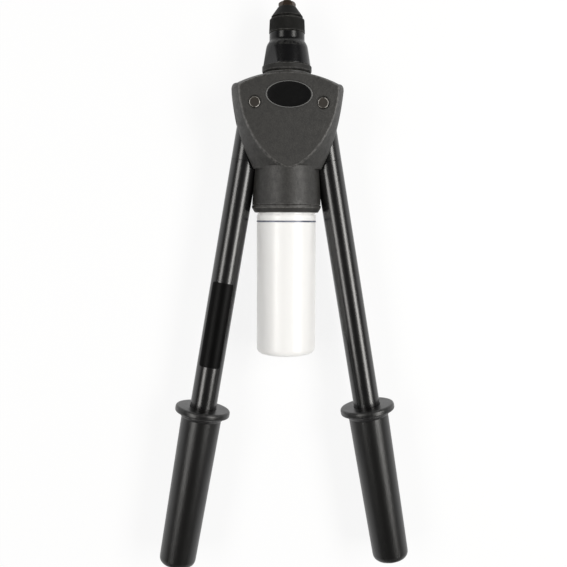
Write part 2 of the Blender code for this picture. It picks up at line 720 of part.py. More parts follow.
def lever_fork(side, word, material, parent):
    """Forged fork: round boss and bar, slot for the link, and a shank inside the tube."""
    half = FORK_HALF_THICKNESS
    rim = FORK_BOSS_RADIUS - FORK_EDGE
    boss = [(0.0, -half), (rim, -half), (FORK_BOSS_RADIUS, -half + FORK_EDGE),
            (FORK_BOSS_RADIUS, half - FORK_EDGE), (rim, half), (0.0, half)]
    fork = turned("fork", boss, MEDIUM, "Z")
    shank = TUBE_RADIUS - TUBE_WALL - FIT_GAP
    shank_end = -(TUBE_START + SHANK_LENGTH)
    bar = [(0.0, 0.0), (half, 0.0), (half, -TUBE_START), (shank, -TUBE_START),
           (shank, shank_end + 2.0), (shank - 2.0, shank_end), (0.0, shank_end)]
    add(fork, turned("bar", bar, MEDIUM))
    outline, pin = link_slot()
    pin_boss = rod("pin_boss", LINK_EYE_RADIUS, -half + FORK_EDGE, half - FORK_EDGE, COARSE, "Z")
    add(fork, place(pin_boss, (side * pin[0], pin[1], 0.0)))
    wedge = [(side * x, y) for x, y in outline]
    if side < 0:
        wedge.reverse()
    cut(fork, prism("slot", wedge, -CHEEK_INNER, CHEEK_INNER))
    well = rod("well", LINK_EYE_RADIUS + SLOT_GAP, -CHEEK_INNER, CHEEK_INNER, COARSE, "Z")
    cut(fork, place(well, (side * pin[0], pin[1], 0.0)))
    hole = FULCRUM_PIN_RADIUS + FULCRUM_RUNNING_GAP
    cut(fork, rod("hole", hole, -THROUGH, THROUGH, COARSE, "Z"))
    pin_hole = rod("pin_hole", LINK_PIN_RADIUS + FIT_GAP, -THROUGH, THROUGH, COARSE, "Z")
    cut(fork, place(pin_hole, (side * pin[0], pin[1], 0.0)))
    cross = rod("cross", ROLL_PIN_RADIUS + FIT_GAP, -THROUGH, ROLL_PIN_TOP + FIT_GAP, SMALL, "Z")
    cut(fork, place(cross, (0.0, ROLL_PIN_Y, 0.0)))
    return finished(fork, word + "_lever_fork", material, parent)


def lever_tube(word, material, parent):
    """Steel handle tube, pushed over the fork's shank."""
    low = -(ARM_LENGTH - TUBE_INTO_GRIP_END)
    top = -(TUBE_START + FIT_GAP)
    bore = TUBE_RADIUS - TUBE_WALL
    profile = [(TUBE_RADIUS, top), (TUBE_RADIUS, low), (bore, low), (bore, top)]
    tube = turned("tube", profile, MEDIUM)
    hole = rod("hole", ROLL_PIN_RADIUS + FIT_GAP, -THROUGH, 0.0, SMALL, "Z")
    cut(tube, place(hole, (0.0, ROLL_PIN_Y, 0.0)))
    return finished(tube, word + "_tube", material, parent)


def roll_pin(word, material, parent):
    """Pin through the back of the tube into the shank."""
    pin = rod("pin", ROLL_PIN_RADIUS, -TUBE_RADIUS + 0.2, ROLL_PIN_TOP, SMALL, "Z")
    place(pin, (0.0, ROLL_PIN_Y, 0.0))
    return finished(pin, word + "_tube_pin", material, parent)


def grip(word, material, parent):
    """Moulded grip: guard flange, bead, tapered sleeve and a round closed end."""
    top = -(ARM_LENGTH - GRIP_LENGTH)
    guard_low = top - GUARD_THICKNESS
    bead_low = guard_low - GUARD_BEAD_THICKNESS
    sleeve_top = bead_low - 1.0
    end = -ARM_LENGTH
    edge = GUARD_THICKNESS / 2.0
    bore = TUBE_RADIUS + FIT_GAP
    outer = [(bore + 1.0, top)]
    rim = arc_points((GUARD_RADIUS - edge, top - edge), edge, 90.0, -90.0, 5)
    outer += rim
    outer += [(GUARD_BEAD_RADIUS, guard_low - 0.3), (GUARD_BEAD_RADIUS + 0.4, guard_low - 1.3),
              (GUARD_BEAD_RADIUS - 0.2, bead_low), (GRIP_TOP_RADIUS, sleeve_top)]
    centre = (GRIP_END_RADIUS - GRIP_END_ROUND, end + GRIP_END_ROUND)
    outer += arc_points(centre, GRIP_END_ROUND, 0.0, -90.0, 4)
    outer += [(0.0, end)]
    well = -(ARM_LENGTH - TUBE_INTO_GRIP_END) - FIT_GAP
    inner = [(0.0, well), (bore, well), (bore, top)]
    return finished(turned("grip", outer + inner, MEDIUM), word + "_grip", material, parent)


def toggle_link(word, material, parent):
    """Dog-bone link, from the fork's link pin down to the crosshead's pin."""
    half = LINK_HALF_THICKNESS
    waist = LINK_WAIST_HALF_WIDTH
    lower = LINK_LOWER_EYE_RADIUS
    link = rod("eye", LINK_EYE_RADIUS, -half, half, COARSE, "Z")
    add(link, place(rod("eye", lower, -half, half, COARSE, "Z"), (0.0, -LINK_LENGTH, 0.0)))
    outline = [(-waist, 0.0), (-waist, -LINK_LENGTH), (waist, -LINK_LENGTH), (waist, 0.0)]
    add(link, prism("waist", outline, -half + LINK_WAIST_STEP, half - LINK_WAIST_STEP))
    cut(link, rod("hole", LINK_PIN_RADIUS + FIT_GAP, -THROUGH, THROUGH, COARSE, "Z"))
    open_hole = rod("hole", CROSSHEAD_PIN_RADIUS + OPEN_PIVOT_GAP, -THROUGH, THROUGH, COARSE, "Z")
    cut(link, place(open_hole, (0.0, -LINK_LENGTH, 0.0)))
    return finished(link, word + "_link", material, parent)


def link_pin(side, word, material, parent):
    """Pin through the fork's cheeks and the link's upper eye."""
    length = FORK_HALF_THICKNESS - FORK_EDGE
    x = side * LINK_PIN_REACH * math.sin(math.radians(LINK_PIN_ANGLE))
    y = -LINK_PIN_REACH * math.cos(math.radians(LINK_PIN_ANGLE))
    pin = rod("pin", LINK_PIN_RADIUS, -length, length, COARSE, "Z")
    return finished(place(pin, (x, y, 0.0)), word + "_link_pin", material, parent)


def crosshead(material, parent):
    """Two plates on a hub, which take the lower ends of both links between them."""
    inner = LINK_HALF_THICKNESS + FIT_GAP
    outer = inner + CROSSHEAD_PLATE_THICKNESS
    plate_radius = LINK_EYE_RADIUS
    hub = rod("hub", CROSSHEAD_HUB_RADIUS, CROSSHEAD_LOW_Y, CROSSHEAD_HIGH_Y, MEDIUM)
    reach = CROSSHEAD_PIN_X
    for low, high in ((inner, outer), (-outer, -inner)):
        right = arc_points((reach, CROSSHEAD_PIN_Y), plate_radius, -90.0, 90.0, 9)
        left = arc_points((-reach, CROSSHEAD_PIN_Y), plate_radius, 90.0, 270.0, 9)
        add(hub, prism("plate", right + left, low, high))
    cut(hub, rod("bore", PULL_TUBE_RADIUS + FIT_GAP, -2.0 * THROUGH, 0.0, COARSE))
    for side in (-1, 1):
        hole = rod("hole", CROSSHEAD_PIN_RADIUS + FIT_GAP, -THROUGH, THROUGH, COARSE, "Z")
        cut(hub, place(hole, (side * CROSSHEAD_PIN_X, CROSSHEAD_PIN_Y, 0.0)))
    return finished(hub, "crosshead", material, parent)


def crosshead_pin(side, word, material, parent):
    """Pin across both plates, on which the link's lower eye runs."""
    length = LINK_HALF_THICKNESS + FIT_GAP + CROSSHEAD_PLATE_THICKNESS
    pin = rod("pin", CROSSHEAD_PIN_RADIUS, -length, length, COARSE, "Z")
    place(pin, (side * CROSSHEAD_PIN_X, CROSSHEAD_PIN_Y, 0.0))
    return finished(pin, word + "_crosshead_pin", material, parent)


def hex_nut(name, radius, height, high, material, parent):
    """Hexagon nut on the pull tube, below a height."""
    nut = rod("nut", radius, high - height, high, 6)
    cut(nut, rod("bore", PULL_TUBE_RADIUS + FIT_GAP, high - THROUGH, high + THROUGH, COARSE))
    return finished(nut, name, material, parent)


def pull_tube(material, parent):
    """Hollow pull rod with a collar above the crosshead."""
    low = CROSSHEAD_LOW_Y - FIT_GAP - CROSSHEAD_NUT_HEIGHT - PULL_TUBE_TAIL
    collar_low = CROSSHEAD_HIGH_Y + FIT_GAP
    collar_top = collar_low + PULL_FLANGE_THICKNESS
    top = CASE_SHOULDER_Y - FIT_GAP
    profile = [(PULL_TUBE_RADIUS, low), (PULL_TUBE_BORE, low), (PULL_TUBE_BORE, top),
               (PULL_TUBE_RADIUS, top), (PULL_TUBE_RADIUS, collar_top),
               (PULL_FLANGE_RADIUS, collar_top), (PULL_FLANGE_RADIUS, collar_low),
               (PULL_TUBE_RADIUS, collar_low)]
    return finished(turned("tube", profile, COARSE), "pull_tube", material, parent)


def jaw_case(material, parent):
    """Sleeve with a cone inside its mouth, screwed on the pull tube."""
    bore = PULL_TUBE_RADIUS + FIT_GAP
    profile = [(CASE_RADIUS, CASE_REAR_Y), (CASE_RADIUS, CASE_FRONT_Y - CASE_EDGE),
               (CASE_RADIUS - CASE_EDGE, CASE_FRONT_Y), (CASE_MOUTH_RADIUS, CASE_FRONT_Y),
               (CASE_WELL_RADIUS, CONE_LOW_Y), (CASE_WELL_RADIUS, CASE_SHOULDER_Y),
               (bore, CASE_SHOULDER_Y), (bore, CASE_REAR_Y)]
    return finished(turned("case", profile, MEDIUM), "jaw_case", material, parent)


def jaw(number, material, parent):
    """One of three jaws: a third of a cone with a split on each side."""
    tail = cone_radius(JAW_TAIL_Y) - CONE_GAP
    tip = cone_radius(JAW_TIP_Y) - CONE_GAP
    shoulder_y = JAW_TAIL_Y + JAW_REAR_CHAMFER
    shoulder = cone_radius(shoulder_y) - CONE_GAP
    profile = [(JAW_BORE, JAW_TIP_Y), (tip, JAW_TIP_Y), (shoulder, shoulder_y),
               (tail - JAW_REAR_CHAMFER, JAW_TAIL_Y), (JAW_BORE, JAW_TAIL_Y)]
    made = turned("jaw", profile, COARSE)
    root = JAW_SPLIT / 2.0 / math.sin(math.radians(60.0))
    spread = THROUGH * math.tan(math.radians(60.0))
    wedge = [(0.0, root), (spread, root + THROUGH), (-spread, root + THROUGH)]
    sector = prism("sector", wedge, -2.0 * THROUGH, 2.0 * THROUGH)
    upright = Matrix.Rotation(math.radians(90.0), 4, "X")
    sector.data.transform(Matrix.Rotation(math.radians(120.0 * number), 4, "Y") @ upright)
    combine(made, sector, "INTERSECT")
    return finished(made, "jaw_%d" % (number + 1), material, parent)


def jaw_pusher(material, parent):
    """Flanged sleeve that the spring presses against the jaws."""
    top = JAW_TAIL_Y - FIT_GAP
    flange_low = top - PUSHER_FLANGE_THICKNESS
    stem_low = flange_low - PUSHER_STEM_LENGTH
    flange = cone_radius(top) - CONE_GAP
    profile = [(PUSHER_BORE, top), (flange, top), (flange, flange_low),
               (PUSHER_STEM_RADIUS, flange_low), (PUSHER_STEM_RADIUS, stem_low),
               (PUSHER_BORE, stem_low)]
    return finished(turned("pusher", profile, COARSE), "jaw_pusher", material, parent)


def jaw_spring(material, parent):
    """Compression spring between the pull tube's end and the pusher."""
    low = CASE_SHOULDER_Y + FIT_GAP + SPRING_WIRE
    top = JAW_TAIL_Y - 2.0 * FIT_GAP - PUSHER_FLANGE_THICKNESS - SPRING_WIRE
    mean = (PUSHER_STEM_RADIUS + CASE_WELL_RADIUS) / 2.0
    around = 5
    steps = int(SPRING_STEPS_PER_TURN * SPRING_TURNS)
    points = []
    faces = []
    for step in range(steps + 1):
        share = step / steps
        angle = 2.0 * math.pi * SPRING_TURNS * share
        height = low + (top - low) * share
        for corner in range(around):
            turn = 2.0 * math.pi * corner / around
            radius = mean + SPRING_WIRE * math.cos(turn)
            y = height + SPRING_WIRE * math.sin(turn)
            points.append((radius * math.sin(angle), y, radius * math.cos(angle)))
    for step in range(steps):
        base = step * around
        for corner in range(around):
            after = (corner + 1) % around
            faces.append([base + corner, base + after, base + around + after, base + around + corner])
    faces.append(list(range(around)))
    faces.append(list(range(steps * around, steps * around + around)))
    return finished(mesh_object("spring", points, faces), "jaw_spring", material, parent)


def nose_barrel(material, parent):
    """Steel barrel, held in the housing by its flange, with two spanner flats."""
    ring_top = COLLAR_TOP_Y + LOCK_RING_HEIGHT + 2.0 * FIT_GAP
    flange_top = BARREL_FLANGE_Y + BARREL_FLANGE_THICKNESS
    shoulder_top = TAPER_TOP_Y + BARREL_SHOULDER_HEIGHT
    drop = TAPER_TOP_RADIUS - BARREL_FRONT_RADIUS
    profile = [(BARREL_NECK_RADIUS, BARREL_REAR_Y), (BARREL_NECK_RADIUS, BARREL_FLANGE_Y),
               (BARREL_FLANGE_RADIUS, BARREL_FLANGE_Y), (BARREL_FLANGE_RADIUS, flange_top),
               (BARREL_NECK_RADIUS, flange_top), (BARREL_NECK_RADIUS, ring_top),
               (TAPER_LOW_RADIUS, ring_top), (TAPER_TOP_RADIUS, TAPER_TOP_Y),
               (TAPER_TOP_RADIUS - 0.25 * drop, TAPER_TOP_Y + 0.45 * BARREL_SHOULDER_HEIGHT),
               (TAPER_TOP_RADIUS - 0.6 * drop, TAPER_TOP_Y + 0.8 * BARREL_SHOULDER_HEIGHT),
               (BARREL_FRONT_RADIUS, shoulder_top), (BARREL_FRONT_RADIUS, BARREL_FRONT_Y - FIT_GAP),
               (BARREL_BORE, BARREL_FRONT_Y - FIT_GAP), (BARREL_BORE, BARREL_REAR_Y)]
    barrel = turned("barrel", profile, FINE)
    for sign in (-1, 1):
        flat = box("flat", (-THROUGH, ring_top - FIT_GAP, BARREL_FLAT_DISTANCE),
                   (THROUGH, shoulder_top, THROUGH))
        turn = -BARREL_FLAT_AZIMUTH + (180.0 if sign < 0 else 0.0)
        flat.data.transform(Matrix.Rotation(math.radians(turn), 4, "Y"))
        cut(barrel, flat)
    return finished(barrel, "nose_barrel", material, parent)


def lock_ring(material, parent):
    """Ring nut that clamps the barrel against the collar."""
    low = COLLAR_TOP_Y + FIT_GAP
    top = low + LOCK_RING_HEIGHT
    inner = BARREL_NECK_RADIUS + FIT_GAP
    edge = LOCK_RING_EDGE
    profile = [(inner, low), (LOCK_RING_RADIUS - edge, low), (LOCK_RING_RADIUS, low + edge),
               (LOCK_RING_RADIUS, top - edge / 2.0), (LOCK_RING_RADIUS - edge / 2.0, top),
               (inner, top)]
    return finished(turned("ring", profile, FINE), "barrel_lock_ring", material, parent)


def nose_cap(material, parent):
    """Cap with a knurled band and a cone, screwed on the barrel's front."""
    edge = CAP_BAND_EDGE
    low = BARREL_FRONT_Y
    groove_top = CAP_BAND_TOP_Y + CAP_GROOVE_WIDTH
    bore = NOSEPIECE_THREAD_RADIUS + FIT_GAP
    well_top = BARREL_FRONT_Y + CAP_BORE_DEPTH
    profile = [(BARREL_BORE, low), (CAP_BAND_RADIUS - edge, low), (CAP_BAND_RADIUS, low + edge),
               (CAP_BAND_RADIUS - 0.5, CAP_BAND_TOP_Y - edge),
               (CAP_BAND_RADIUS - 0.5 - edge, CAP_BAND_TOP_Y),
               (CAP_GROOVE_RADIUS, CAP_BAND_TOP_Y), (CAP_GROOVE_RADIUS, groove_top - 0.3),
               (CAP_CONE_LOW_RADIUS, groove_top), (CAP_CONE_TOP_RADIUS, CAP_TOP_Y),
               (bore, CAP_TOP_Y), (bore, well_top), (BARREL_BORE, well_top)]
    return finished(turned("cap", profile, MEDIUM), "nose_cap", material, parent)


def nosepiece(material, parent):
    """Hexagon nosepiece with its thread and the point that opens the jaws."""
    hex_low = CAP_TOP_Y + FIT_GAP
    hex_top = hex_low + NOSEPIECE_HEX_HEIGHT
    rear = JAW_TIP_Y + STROKE + FIT_GAP
    body = NOSEPIECE_THREAD_RADIUS
    hexagon = rod("hexagon", polygon_radius(NOSEPIECE_HEX_ACROSS, 6), hex_low, hex_top, 6)
    hexagon.data.transform(Matrix.Rotation(math.radians(30.0), 4, "Y"))
    stem = [(0.0, rear), (NOSEPIECE_BORE + 0.8, rear), (body, rear + NOSEPIECE_REAR_POINT),
            (body, hex_low + 0.5), (NOSEPIECE_ROOT_RADIUS, hex_top),
            (NOSEPIECE_TIP_RADIUS + 0.6, hex_top + 1.6), (NOSEPIECE_TIP_RADIUS, NOSEPIECE_TIP_Y),
            (0.0, NOSEPIECE_TIP_Y)]
    add(hexagon, turned("stem", stem, COARSE))
    cut(hexagon, rod("bore", NOSEPIECE_BORE, 0.0, 2.0 * THROUGH, SMALL))
    return finished(hexagon, "nosepiece", material, parent)


def bottle(material, band_material, parent):
    """Catch bottle with a threaded mouth, and the narrow band under its rim."""
    low = BOTTLE_LOW_Y
    corner = BOTTLE_CORNER
    inner_corner = corner - BOTTLE_WALL
    inner = BOTTLE_RADIUS - BOTTLE_WALL
    floor = low + BOTTLE_WALL
    mouth = BOTTLE_NECK_RADIUS - BOTTLE_WALL
    half = BAND_WIDTH / 2.0
    outside = [(0.0, low)]
    outside += arc_points((BOTTLE_RADIUS - corner, low + corner), corner, -90.0, 0.0, 4)
    outside += [(BOTTLE_RADIUS, BAND_Y - half), (BOTTLE_RADIUS - BAND_DEPTH, BAND_Y - half),
                (BOTTLE_RADIUS - BAND_DEPTH, BAND_Y + half), (BOTTLE_RADIUS, BAND_Y + half),
                (BOTTLE_RADIUS, BOTTLE_SHOULDER_Y - 0.6),
                (BOTTLE_NECK_RADIUS, BOTTLE_SHOULDER_Y), (BOTTLE_NECK_RADIUS, BOTTLE_MOUTH_Y)]
    inside = [(mouth, BOTTLE_MOUTH_Y), (mouth, BAND_Y - BOTTLE_INSIDE_SLOPE_TOP),
              (inner, BAND_Y - BOTTLE_INSIDE_SLOPE_LOW)]
    inside += arc_points((inner - inner_corner, floor + inner_corner), inner_corner, 0.0, -90.0, 4)
    inside += [(0.0, floor)]
    finished(turned("bottle", outside + inside, MEDIUM), "bottle", material, parent)
    seat = BOTTLE_RADIUS - BAND_DEPTH + BAND_GAP
    low = BAND_Y - half + BAND_GAP
    high = BAND_Y + half - BAND_GAP
    ring = [(seat, low), (BOTTLE_RADIUS, low), (BOTTLE_RADIUS, high), (seat, high)]
    return finished(turned("band", ring, MEDIUM), "bottle_band", band_material, parent)


def build():
    """Make every piece in its place, levers closed."""
    clear_scene()
    casting = finish("cast_housing", (0.045, 0.043, 0.042), 0.2, 0.6)
    black_steel = finish("blackened_steel", (0.02, 0.02, 0.021), 0.8, 0.3)
    matte_steel = finish("matte_black_steel", (0.03, 0.03, 0.031), 0.7, 0.5)
    painted = finish("black_paint", (0.012, 0.012, 0.013), 0.1, 0.25)
    bronze = finish("bronzed_steel", (0.12, 0.08, 0.055), 0.8, 0.4)
    bright = finish("bright_steel", (0.55, 0.55, 0.56), 0.95, 0.3)
    rubber = finish("grip_rubber", (0.018, 0.018, 0.019), 0.0, 0.45)
    plate = finish("plate_black", (0.006, 0.006, 0.006), 0.0, 0.3)
    clear = finish("bottle_plastic", (0.92, 0.93, 0.94), 0.0, 0.25, 0.6)
    blue = finish("band_grey", (0.33, 0.35, 0.42), 0.0, 0.5)
    root = marker("tool", None, (0.0, FULCRUM_FROM_ORIGIN, AXIS_HEIGHT))
    head = marker("pull_head", root)
    jaws = marker("jaw_head", head)
    housing_shell("front_housing", True, casting, root)
    housing_shell("rear_housing", False, casting, root)
    neck_ring(casting, root)
    name_plate(plate, root)
    nose_barrel(black_steel, root)
    lock_ring(matte_steel, root)
    nose_cap(matte_steel, root)
    nosepiece(bronze, root)
    bottle(clear, blue, marker("bottle_mouth", root))
    crosshead(bright, head)
    pull_tube(bright, head)
    hex_nut("crosshead_nut", CROSSHEAD_NUT_RADIUS, CROSSHEAD_NUT_HEIGHT,
            CROSSHEAD_LOW_Y - FIT_GAP, bright, head)
    hex_nut("case_lock_nut", CASE_NUT_RADIUS, CASE_NUT_HEIGHT, CASE_REAR_Y - FIT_GAP, bright, head)
    jaw_case(bright, head)
    for number in range(3):
        jaw(number, bright, jaws)
    jaw_pusher(bright, jaws)
    jaw_spring(bright, jaws)
    for side, word in ((-1, "left"), (1, "right")):
        fulcrum = marker(word + "_fulcrum", root, (side * PIVOT_X, 0.0, 0.0))
        fulcrum_pin(word, matte_steel, bright, fulcrum)
        housing_screw(side, word, matte_steel, root)
        lever = marker(word + "_lever", fulcrum, turn=side * ARM_ANGLE)
        lever_fork(side, word, painted, lever)
        link_pin(side, word, bright, lever)
        lever_tube(word, painted, lever)
        roll_pin(word, bright, lever)
        grip(word, rubber, lever)
        joint = (side * REST_LINK_PIN[0], REST_LINK_PIN[1], 0.0)
        swing = marker(word + "_link_joint", root, joint, -side * link_lean(0.0))
        toggle_link(word, bright, swing)
        crosshead_pin(side, word, bright, head)


build()
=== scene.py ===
"""Visual model of a lever blind riveter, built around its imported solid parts."""

import json
import math

import bmesh
import bpy
import numpy as np
from mathutils import Matrix, Vector


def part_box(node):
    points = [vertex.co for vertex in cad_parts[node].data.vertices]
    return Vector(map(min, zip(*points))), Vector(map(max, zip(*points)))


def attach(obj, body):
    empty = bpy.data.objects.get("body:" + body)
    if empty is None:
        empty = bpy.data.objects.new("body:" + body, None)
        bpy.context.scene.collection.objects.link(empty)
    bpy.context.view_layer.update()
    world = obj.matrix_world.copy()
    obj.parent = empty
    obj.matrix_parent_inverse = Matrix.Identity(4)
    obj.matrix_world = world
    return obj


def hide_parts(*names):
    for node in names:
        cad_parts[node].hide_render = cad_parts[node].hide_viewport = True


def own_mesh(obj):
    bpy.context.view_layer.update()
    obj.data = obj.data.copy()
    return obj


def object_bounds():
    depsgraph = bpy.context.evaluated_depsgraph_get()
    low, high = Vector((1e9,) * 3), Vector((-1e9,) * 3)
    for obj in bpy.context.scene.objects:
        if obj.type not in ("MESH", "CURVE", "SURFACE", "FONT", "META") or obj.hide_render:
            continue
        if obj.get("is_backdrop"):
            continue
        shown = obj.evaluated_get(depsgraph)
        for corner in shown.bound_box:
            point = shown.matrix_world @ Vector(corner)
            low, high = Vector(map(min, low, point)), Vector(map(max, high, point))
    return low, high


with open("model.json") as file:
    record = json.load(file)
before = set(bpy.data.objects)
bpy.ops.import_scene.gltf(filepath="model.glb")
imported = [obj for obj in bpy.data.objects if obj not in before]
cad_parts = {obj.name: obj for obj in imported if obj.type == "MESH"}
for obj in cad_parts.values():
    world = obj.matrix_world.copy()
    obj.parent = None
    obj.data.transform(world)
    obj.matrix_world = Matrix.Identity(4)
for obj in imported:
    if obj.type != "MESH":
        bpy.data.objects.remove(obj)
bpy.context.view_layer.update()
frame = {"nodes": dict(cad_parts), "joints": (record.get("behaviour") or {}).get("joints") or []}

# Housing shells
# Two die-cast aluminium halves, front and rear, that meet on a flat parting plane round the linkage.
# The front has a raised flat shield with sloping flanks. Both are coated in a dark grey powder paint.
# Lengths are millimetres from the middle between the fulcrums: Y towards the nose, Z to the front.

FULCRUM = next(j["pos_m"] for j in frame["joints"] if j["name"] == "right_lever_hinge")
BODY_EDGE = {"apex": 25.9, "arc": 92.5, "half_width": 44.5, "round_in": 4.0, "shoulder_y": 11.4,
             "waist": (41.8, -12.0), "hip": (37.8, -30.0), "end_x": 27.1, "low": -50.0,
             "foot_in": 1.15, "foot_up": 1.0}
SHIELD_EDGE = {"apex": 23.1, "arc": 78.0, "half_width": 38.7, "round_in": 1.4, "shoulder_y": 11.6,
               "waist": (38.3, -12.0), "hip": (24.8, -40.0), "end_x": 2.0, "low": -50.0,
               "foot_in": 0.0, "foot_up": 1.15}
HIP_SHARE = 1.15
FLANK_CURVE = 1.48
WALL = 3.5
PARTING_Z = 0.15
SHIELD_Z = 27.0
SIDES = {"left": -1.0, "right": 1.0}
PIVOT_X = 26.6
REST_LEAN = 9.75
SCREW_X, SCREW_Y = 21.0, 15.9
PLATE_Y = 6.05
PIN_HOLE, CLIP_SINK, SCREW_HOLE, SCREW_SINK = 4.6, 7.3, 1.9, 3.2
NECK_BORE, BARREL_BORE, FLANGE_POCKET = 23.8, 15.3, 17.5
SLOT_X, FORK_ROOM, FORK_ROOM_Z, TUBE_NEST = 28.3, 13.1, 11.6, 11.6
FAR = 60.0


def in_tool(points, lean=0.0, pivot_x=0.0):
    """Tool millimetres to the row frame: turn by lean degrees at the fulcrum, shift, then scale."""
    angle = math.radians(lean)
    turned_x = points[:, 0] * math.cos(angle) - points[:, 1] * math.sin(angle) + pivot_x
    turned_y = points[:, 0] * math.sin(angle) + points[:, 1] * math.cos(angle)
    placed = np.stack([turned_x, turned_y, points[:, 2]], axis=1) * 0.001
    return placed + np.array([0.0, FULCRUM[1], FULCRUM[2]])


def skin(name, grid, wrap_rows=False, wear_and_highlight_mark=None, along=None):
    """Closed mesh from a grid of points (rows, columns, 3) whose columns close on themselves.

    Rows join to the next row, and with wrap_rows the last joins to the first. Rows of one
    repeated point become a pole. The edge mark (wear and painted highlight) and along are one value per row,
    kept as attributes.
    """
    rows, columns = grid.shape[:2]
    row_count = rows if wrap_rows else rows - 1
    row = np.arange(row_count)[:, None]
    column = np.arange(columns)[None, :]
    row_next = (row + 1) % rows
    column_next = (column + 1) % columns
    corners = [row * columns + column, row * columns + column_next,
               row_next * columns + column_next, row_next * columns + column]
    faces = np.stack(corners, axis=-1).reshape(-1, 4)
    mesh = bpy.data.meshes.new(name)
    mesh.from_pydata(grid.reshape(-1, 3).tolist(), [], faces.tolist())
    for word, values in (("wear_and_highlight_mark", wear_and_highlight_mark), ("along", along)):
        if values is not None:
            layer = mesh.attributes.new(word, "FLOAT", "POINT")
            layer.data.foreach_set("value", np.repeat(np.asarray(values, np.float32), columns))
    shape = bmesh.new()
    shape.from_mesh(mesh)
    bmesh.ops.remove_doubles(shape, verts=shape.verts, dist=1e-5)
    bmesh.ops.dissolve_degenerate(shape, edges=shape.edges, dist=1e-6)
    bmesh.ops.recalc_face_normals(shape, faces=shape.faces)
    shape.to_mesh(mesh)
    shape.free()
    piece = bpy.data.objects.new(name, mesh)
    bpy.context.scene.collection.objects.link(piece)
    return piece


def eased(corners, closed=False, steps=6):
    """Profile of (radius, height) with each corner (radius, height, cut) rounded off.

    A corner is cut at the same distance along both edges and bridged by the quadratic curve
    through the corner itself. Returns the profile and, per point, 1 on an outside arc, else 0,
    the edge mark for wear and painted highlight. A negative cut rounds a corner in the same way but leaves it
    unmarked.
    """
    profile, wear_and_highlight_mark = [], []
    count = len(corners)
    for index, (radius, height, cut) in enumerate(corners):
        here = np.array([radius, height])
        if cut == 0.0 or (not closed and index in (0, count - 1)):
            profile.append(here)
            wear_and_highlight_mark.append(0.0)
            continue
        before = np.array(corners[index - 1][:2]) - here
        after = np.array(corners[(index + 1) % count][:2]) - here
        size = abs(cut)
        first = here + before / np.linalg.norm(before) * size
        last = here + after / np.linalg.norm(after) * size
        t = np.linspace(0.0, 1.0, steps)[:, None]
        arc = (1 - t) ** 2 * first + 2 * t * (1 - t) * here + t ** 2 * last
        guard_in = first + before / np.linalg.norm(before) * min(0.25, np.linalg.norm(before) * 0.1)
        guard_out = last + after / np.linalg.norm(after) * min(0.25, np.linalg.norm(after) * 0.1)
        profile += [guard_in, *arc, guard_out]
        wear_and_highlight_mark += [0.0] + [1.0 if cut > 0.0 else 0.0] * steps + [0.0]
    return np.array(profile), np.array(wear_and_highlight_mark)


def angles(around):
    """Evenly spaced angles of one full turn."""
    return np.linspace(0.0, 2.0 * math.pi, around, endpoint=False)


def turned(name, corners, around=96, axis="Y", at=(0.0, 0.0), closed=False):
    """Surface of revolution: each profile point (r, h) becomes the circle (r sin a, h, r cos a).

    The axis is the tool's Y axis, or the upright Z axis through at.
    """
    profile, wear_and_highlight_mark = eased(corners, closed)
    angle = angles(around)
    radius = profile[:, 0][:, None]
    height = np.repeat(profile[:, 1][:, None], around, axis=1)
    across = radius * np.sin(angle)
    upright = radius * np.cos(angle)
    if axis == "Y":
        grid = np.stack([across, height, upright], axis=-1)
    else:
        grid = np.stack([across + at[0], at[1] - upright, height], axis=-1)
    return skin(name, grid, closed, wear_and_highlight_mark, profile[:, 1])


def rod(radius, low, high, around, axis="Z", at=(0.0, 0.0)):
    """Plain round bar between two heights, as a tool for joining or cutting."""
    corners = [(0.0, low, 0.0), (radius, low, 0.0), (radius, high, 0.0), (0.0, high, 0.0)]
    return turned("rod", corners, around, axis, at)


def chamfered_hole(radius, low, chamfer, around, at):
    """Tool for a hole up through the shield, whose mouth widens by a chamfer."""
    mouth = SHIELD_Z + 0.1
    corners = [(0.0, low, 0.0), (radius, low, 0.0), (radius, mouth - chamfer, 0.0),
               (radius + chamfer, mouth, 0.0), (radius + chamfer, FAR, 0.0), (0.0, FAR, 0.0)]
    return turned("hole", corners, around, "Z", at)


def oval_rows(half_width, half_height, rows, around):
    """Ovals round the plate's middle: (x, y) = size * (half_width sin a, half_height cos a)."""
    a = angles(around)
    return np.stack([np.stack([size * half_width * np.sin(a), PLATE_Y + size * half_height * np.cos(a),
                               np.full(around, height)], axis=1) for size, height in rows])


def block(name, low, high):
    """Box between two corners, as a tool for cutting."""
    ends = np.array([low, high])
    corners = ends[[[0, 0, 0], [1, 0, 0], [1, 1, 0], [0, 1, 0], [0, 0, 1], [1, 0, 1], [1, 1, 1],
                    [0, 1, 1]], [0, 1, 2]]
    sides = [(0, 3, 2, 1), (4, 5, 6, 7), (0, 1, 5, 4), (1, 2, 6, 5), (2, 3, 7, 6), (3, 0, 4, 7)]
    mesh = bpy.data.meshes.new(name)
    mesh.from_pydata(corners.tolist(), [], sides)
    piece = bpy.data.objects.new(name, mesh)
    bpy.context.scene.collection.objects.link(piece)
    return piece


def combine(piece, tool, how):
    """Boolean of a piece with a tool shape, applied to its mesh, after which the tool is gone."""
    step = piece.modifiers.new("step", "BOOLEAN")
    step.object = tool
    step.operation = how
    step.solver = "MANIFOLD"
    bpy.context.view_layer.update()
    result = bpy.data.meshes.new_from_object(piece.evaluated_get(bpy.context.evaluated_depsgraph_get()))
    piece.modifiers.clear()
    piece.data = result
    bpy.data.objects.remove(tool)


def shaded(piece, angle=32.0):
    """Smooth shading with creases where faces meet at more than an angle."""
    piece.data.shade_smooth()
    piece.data.set_sharp_from_angle(angle=math.radians(angle))


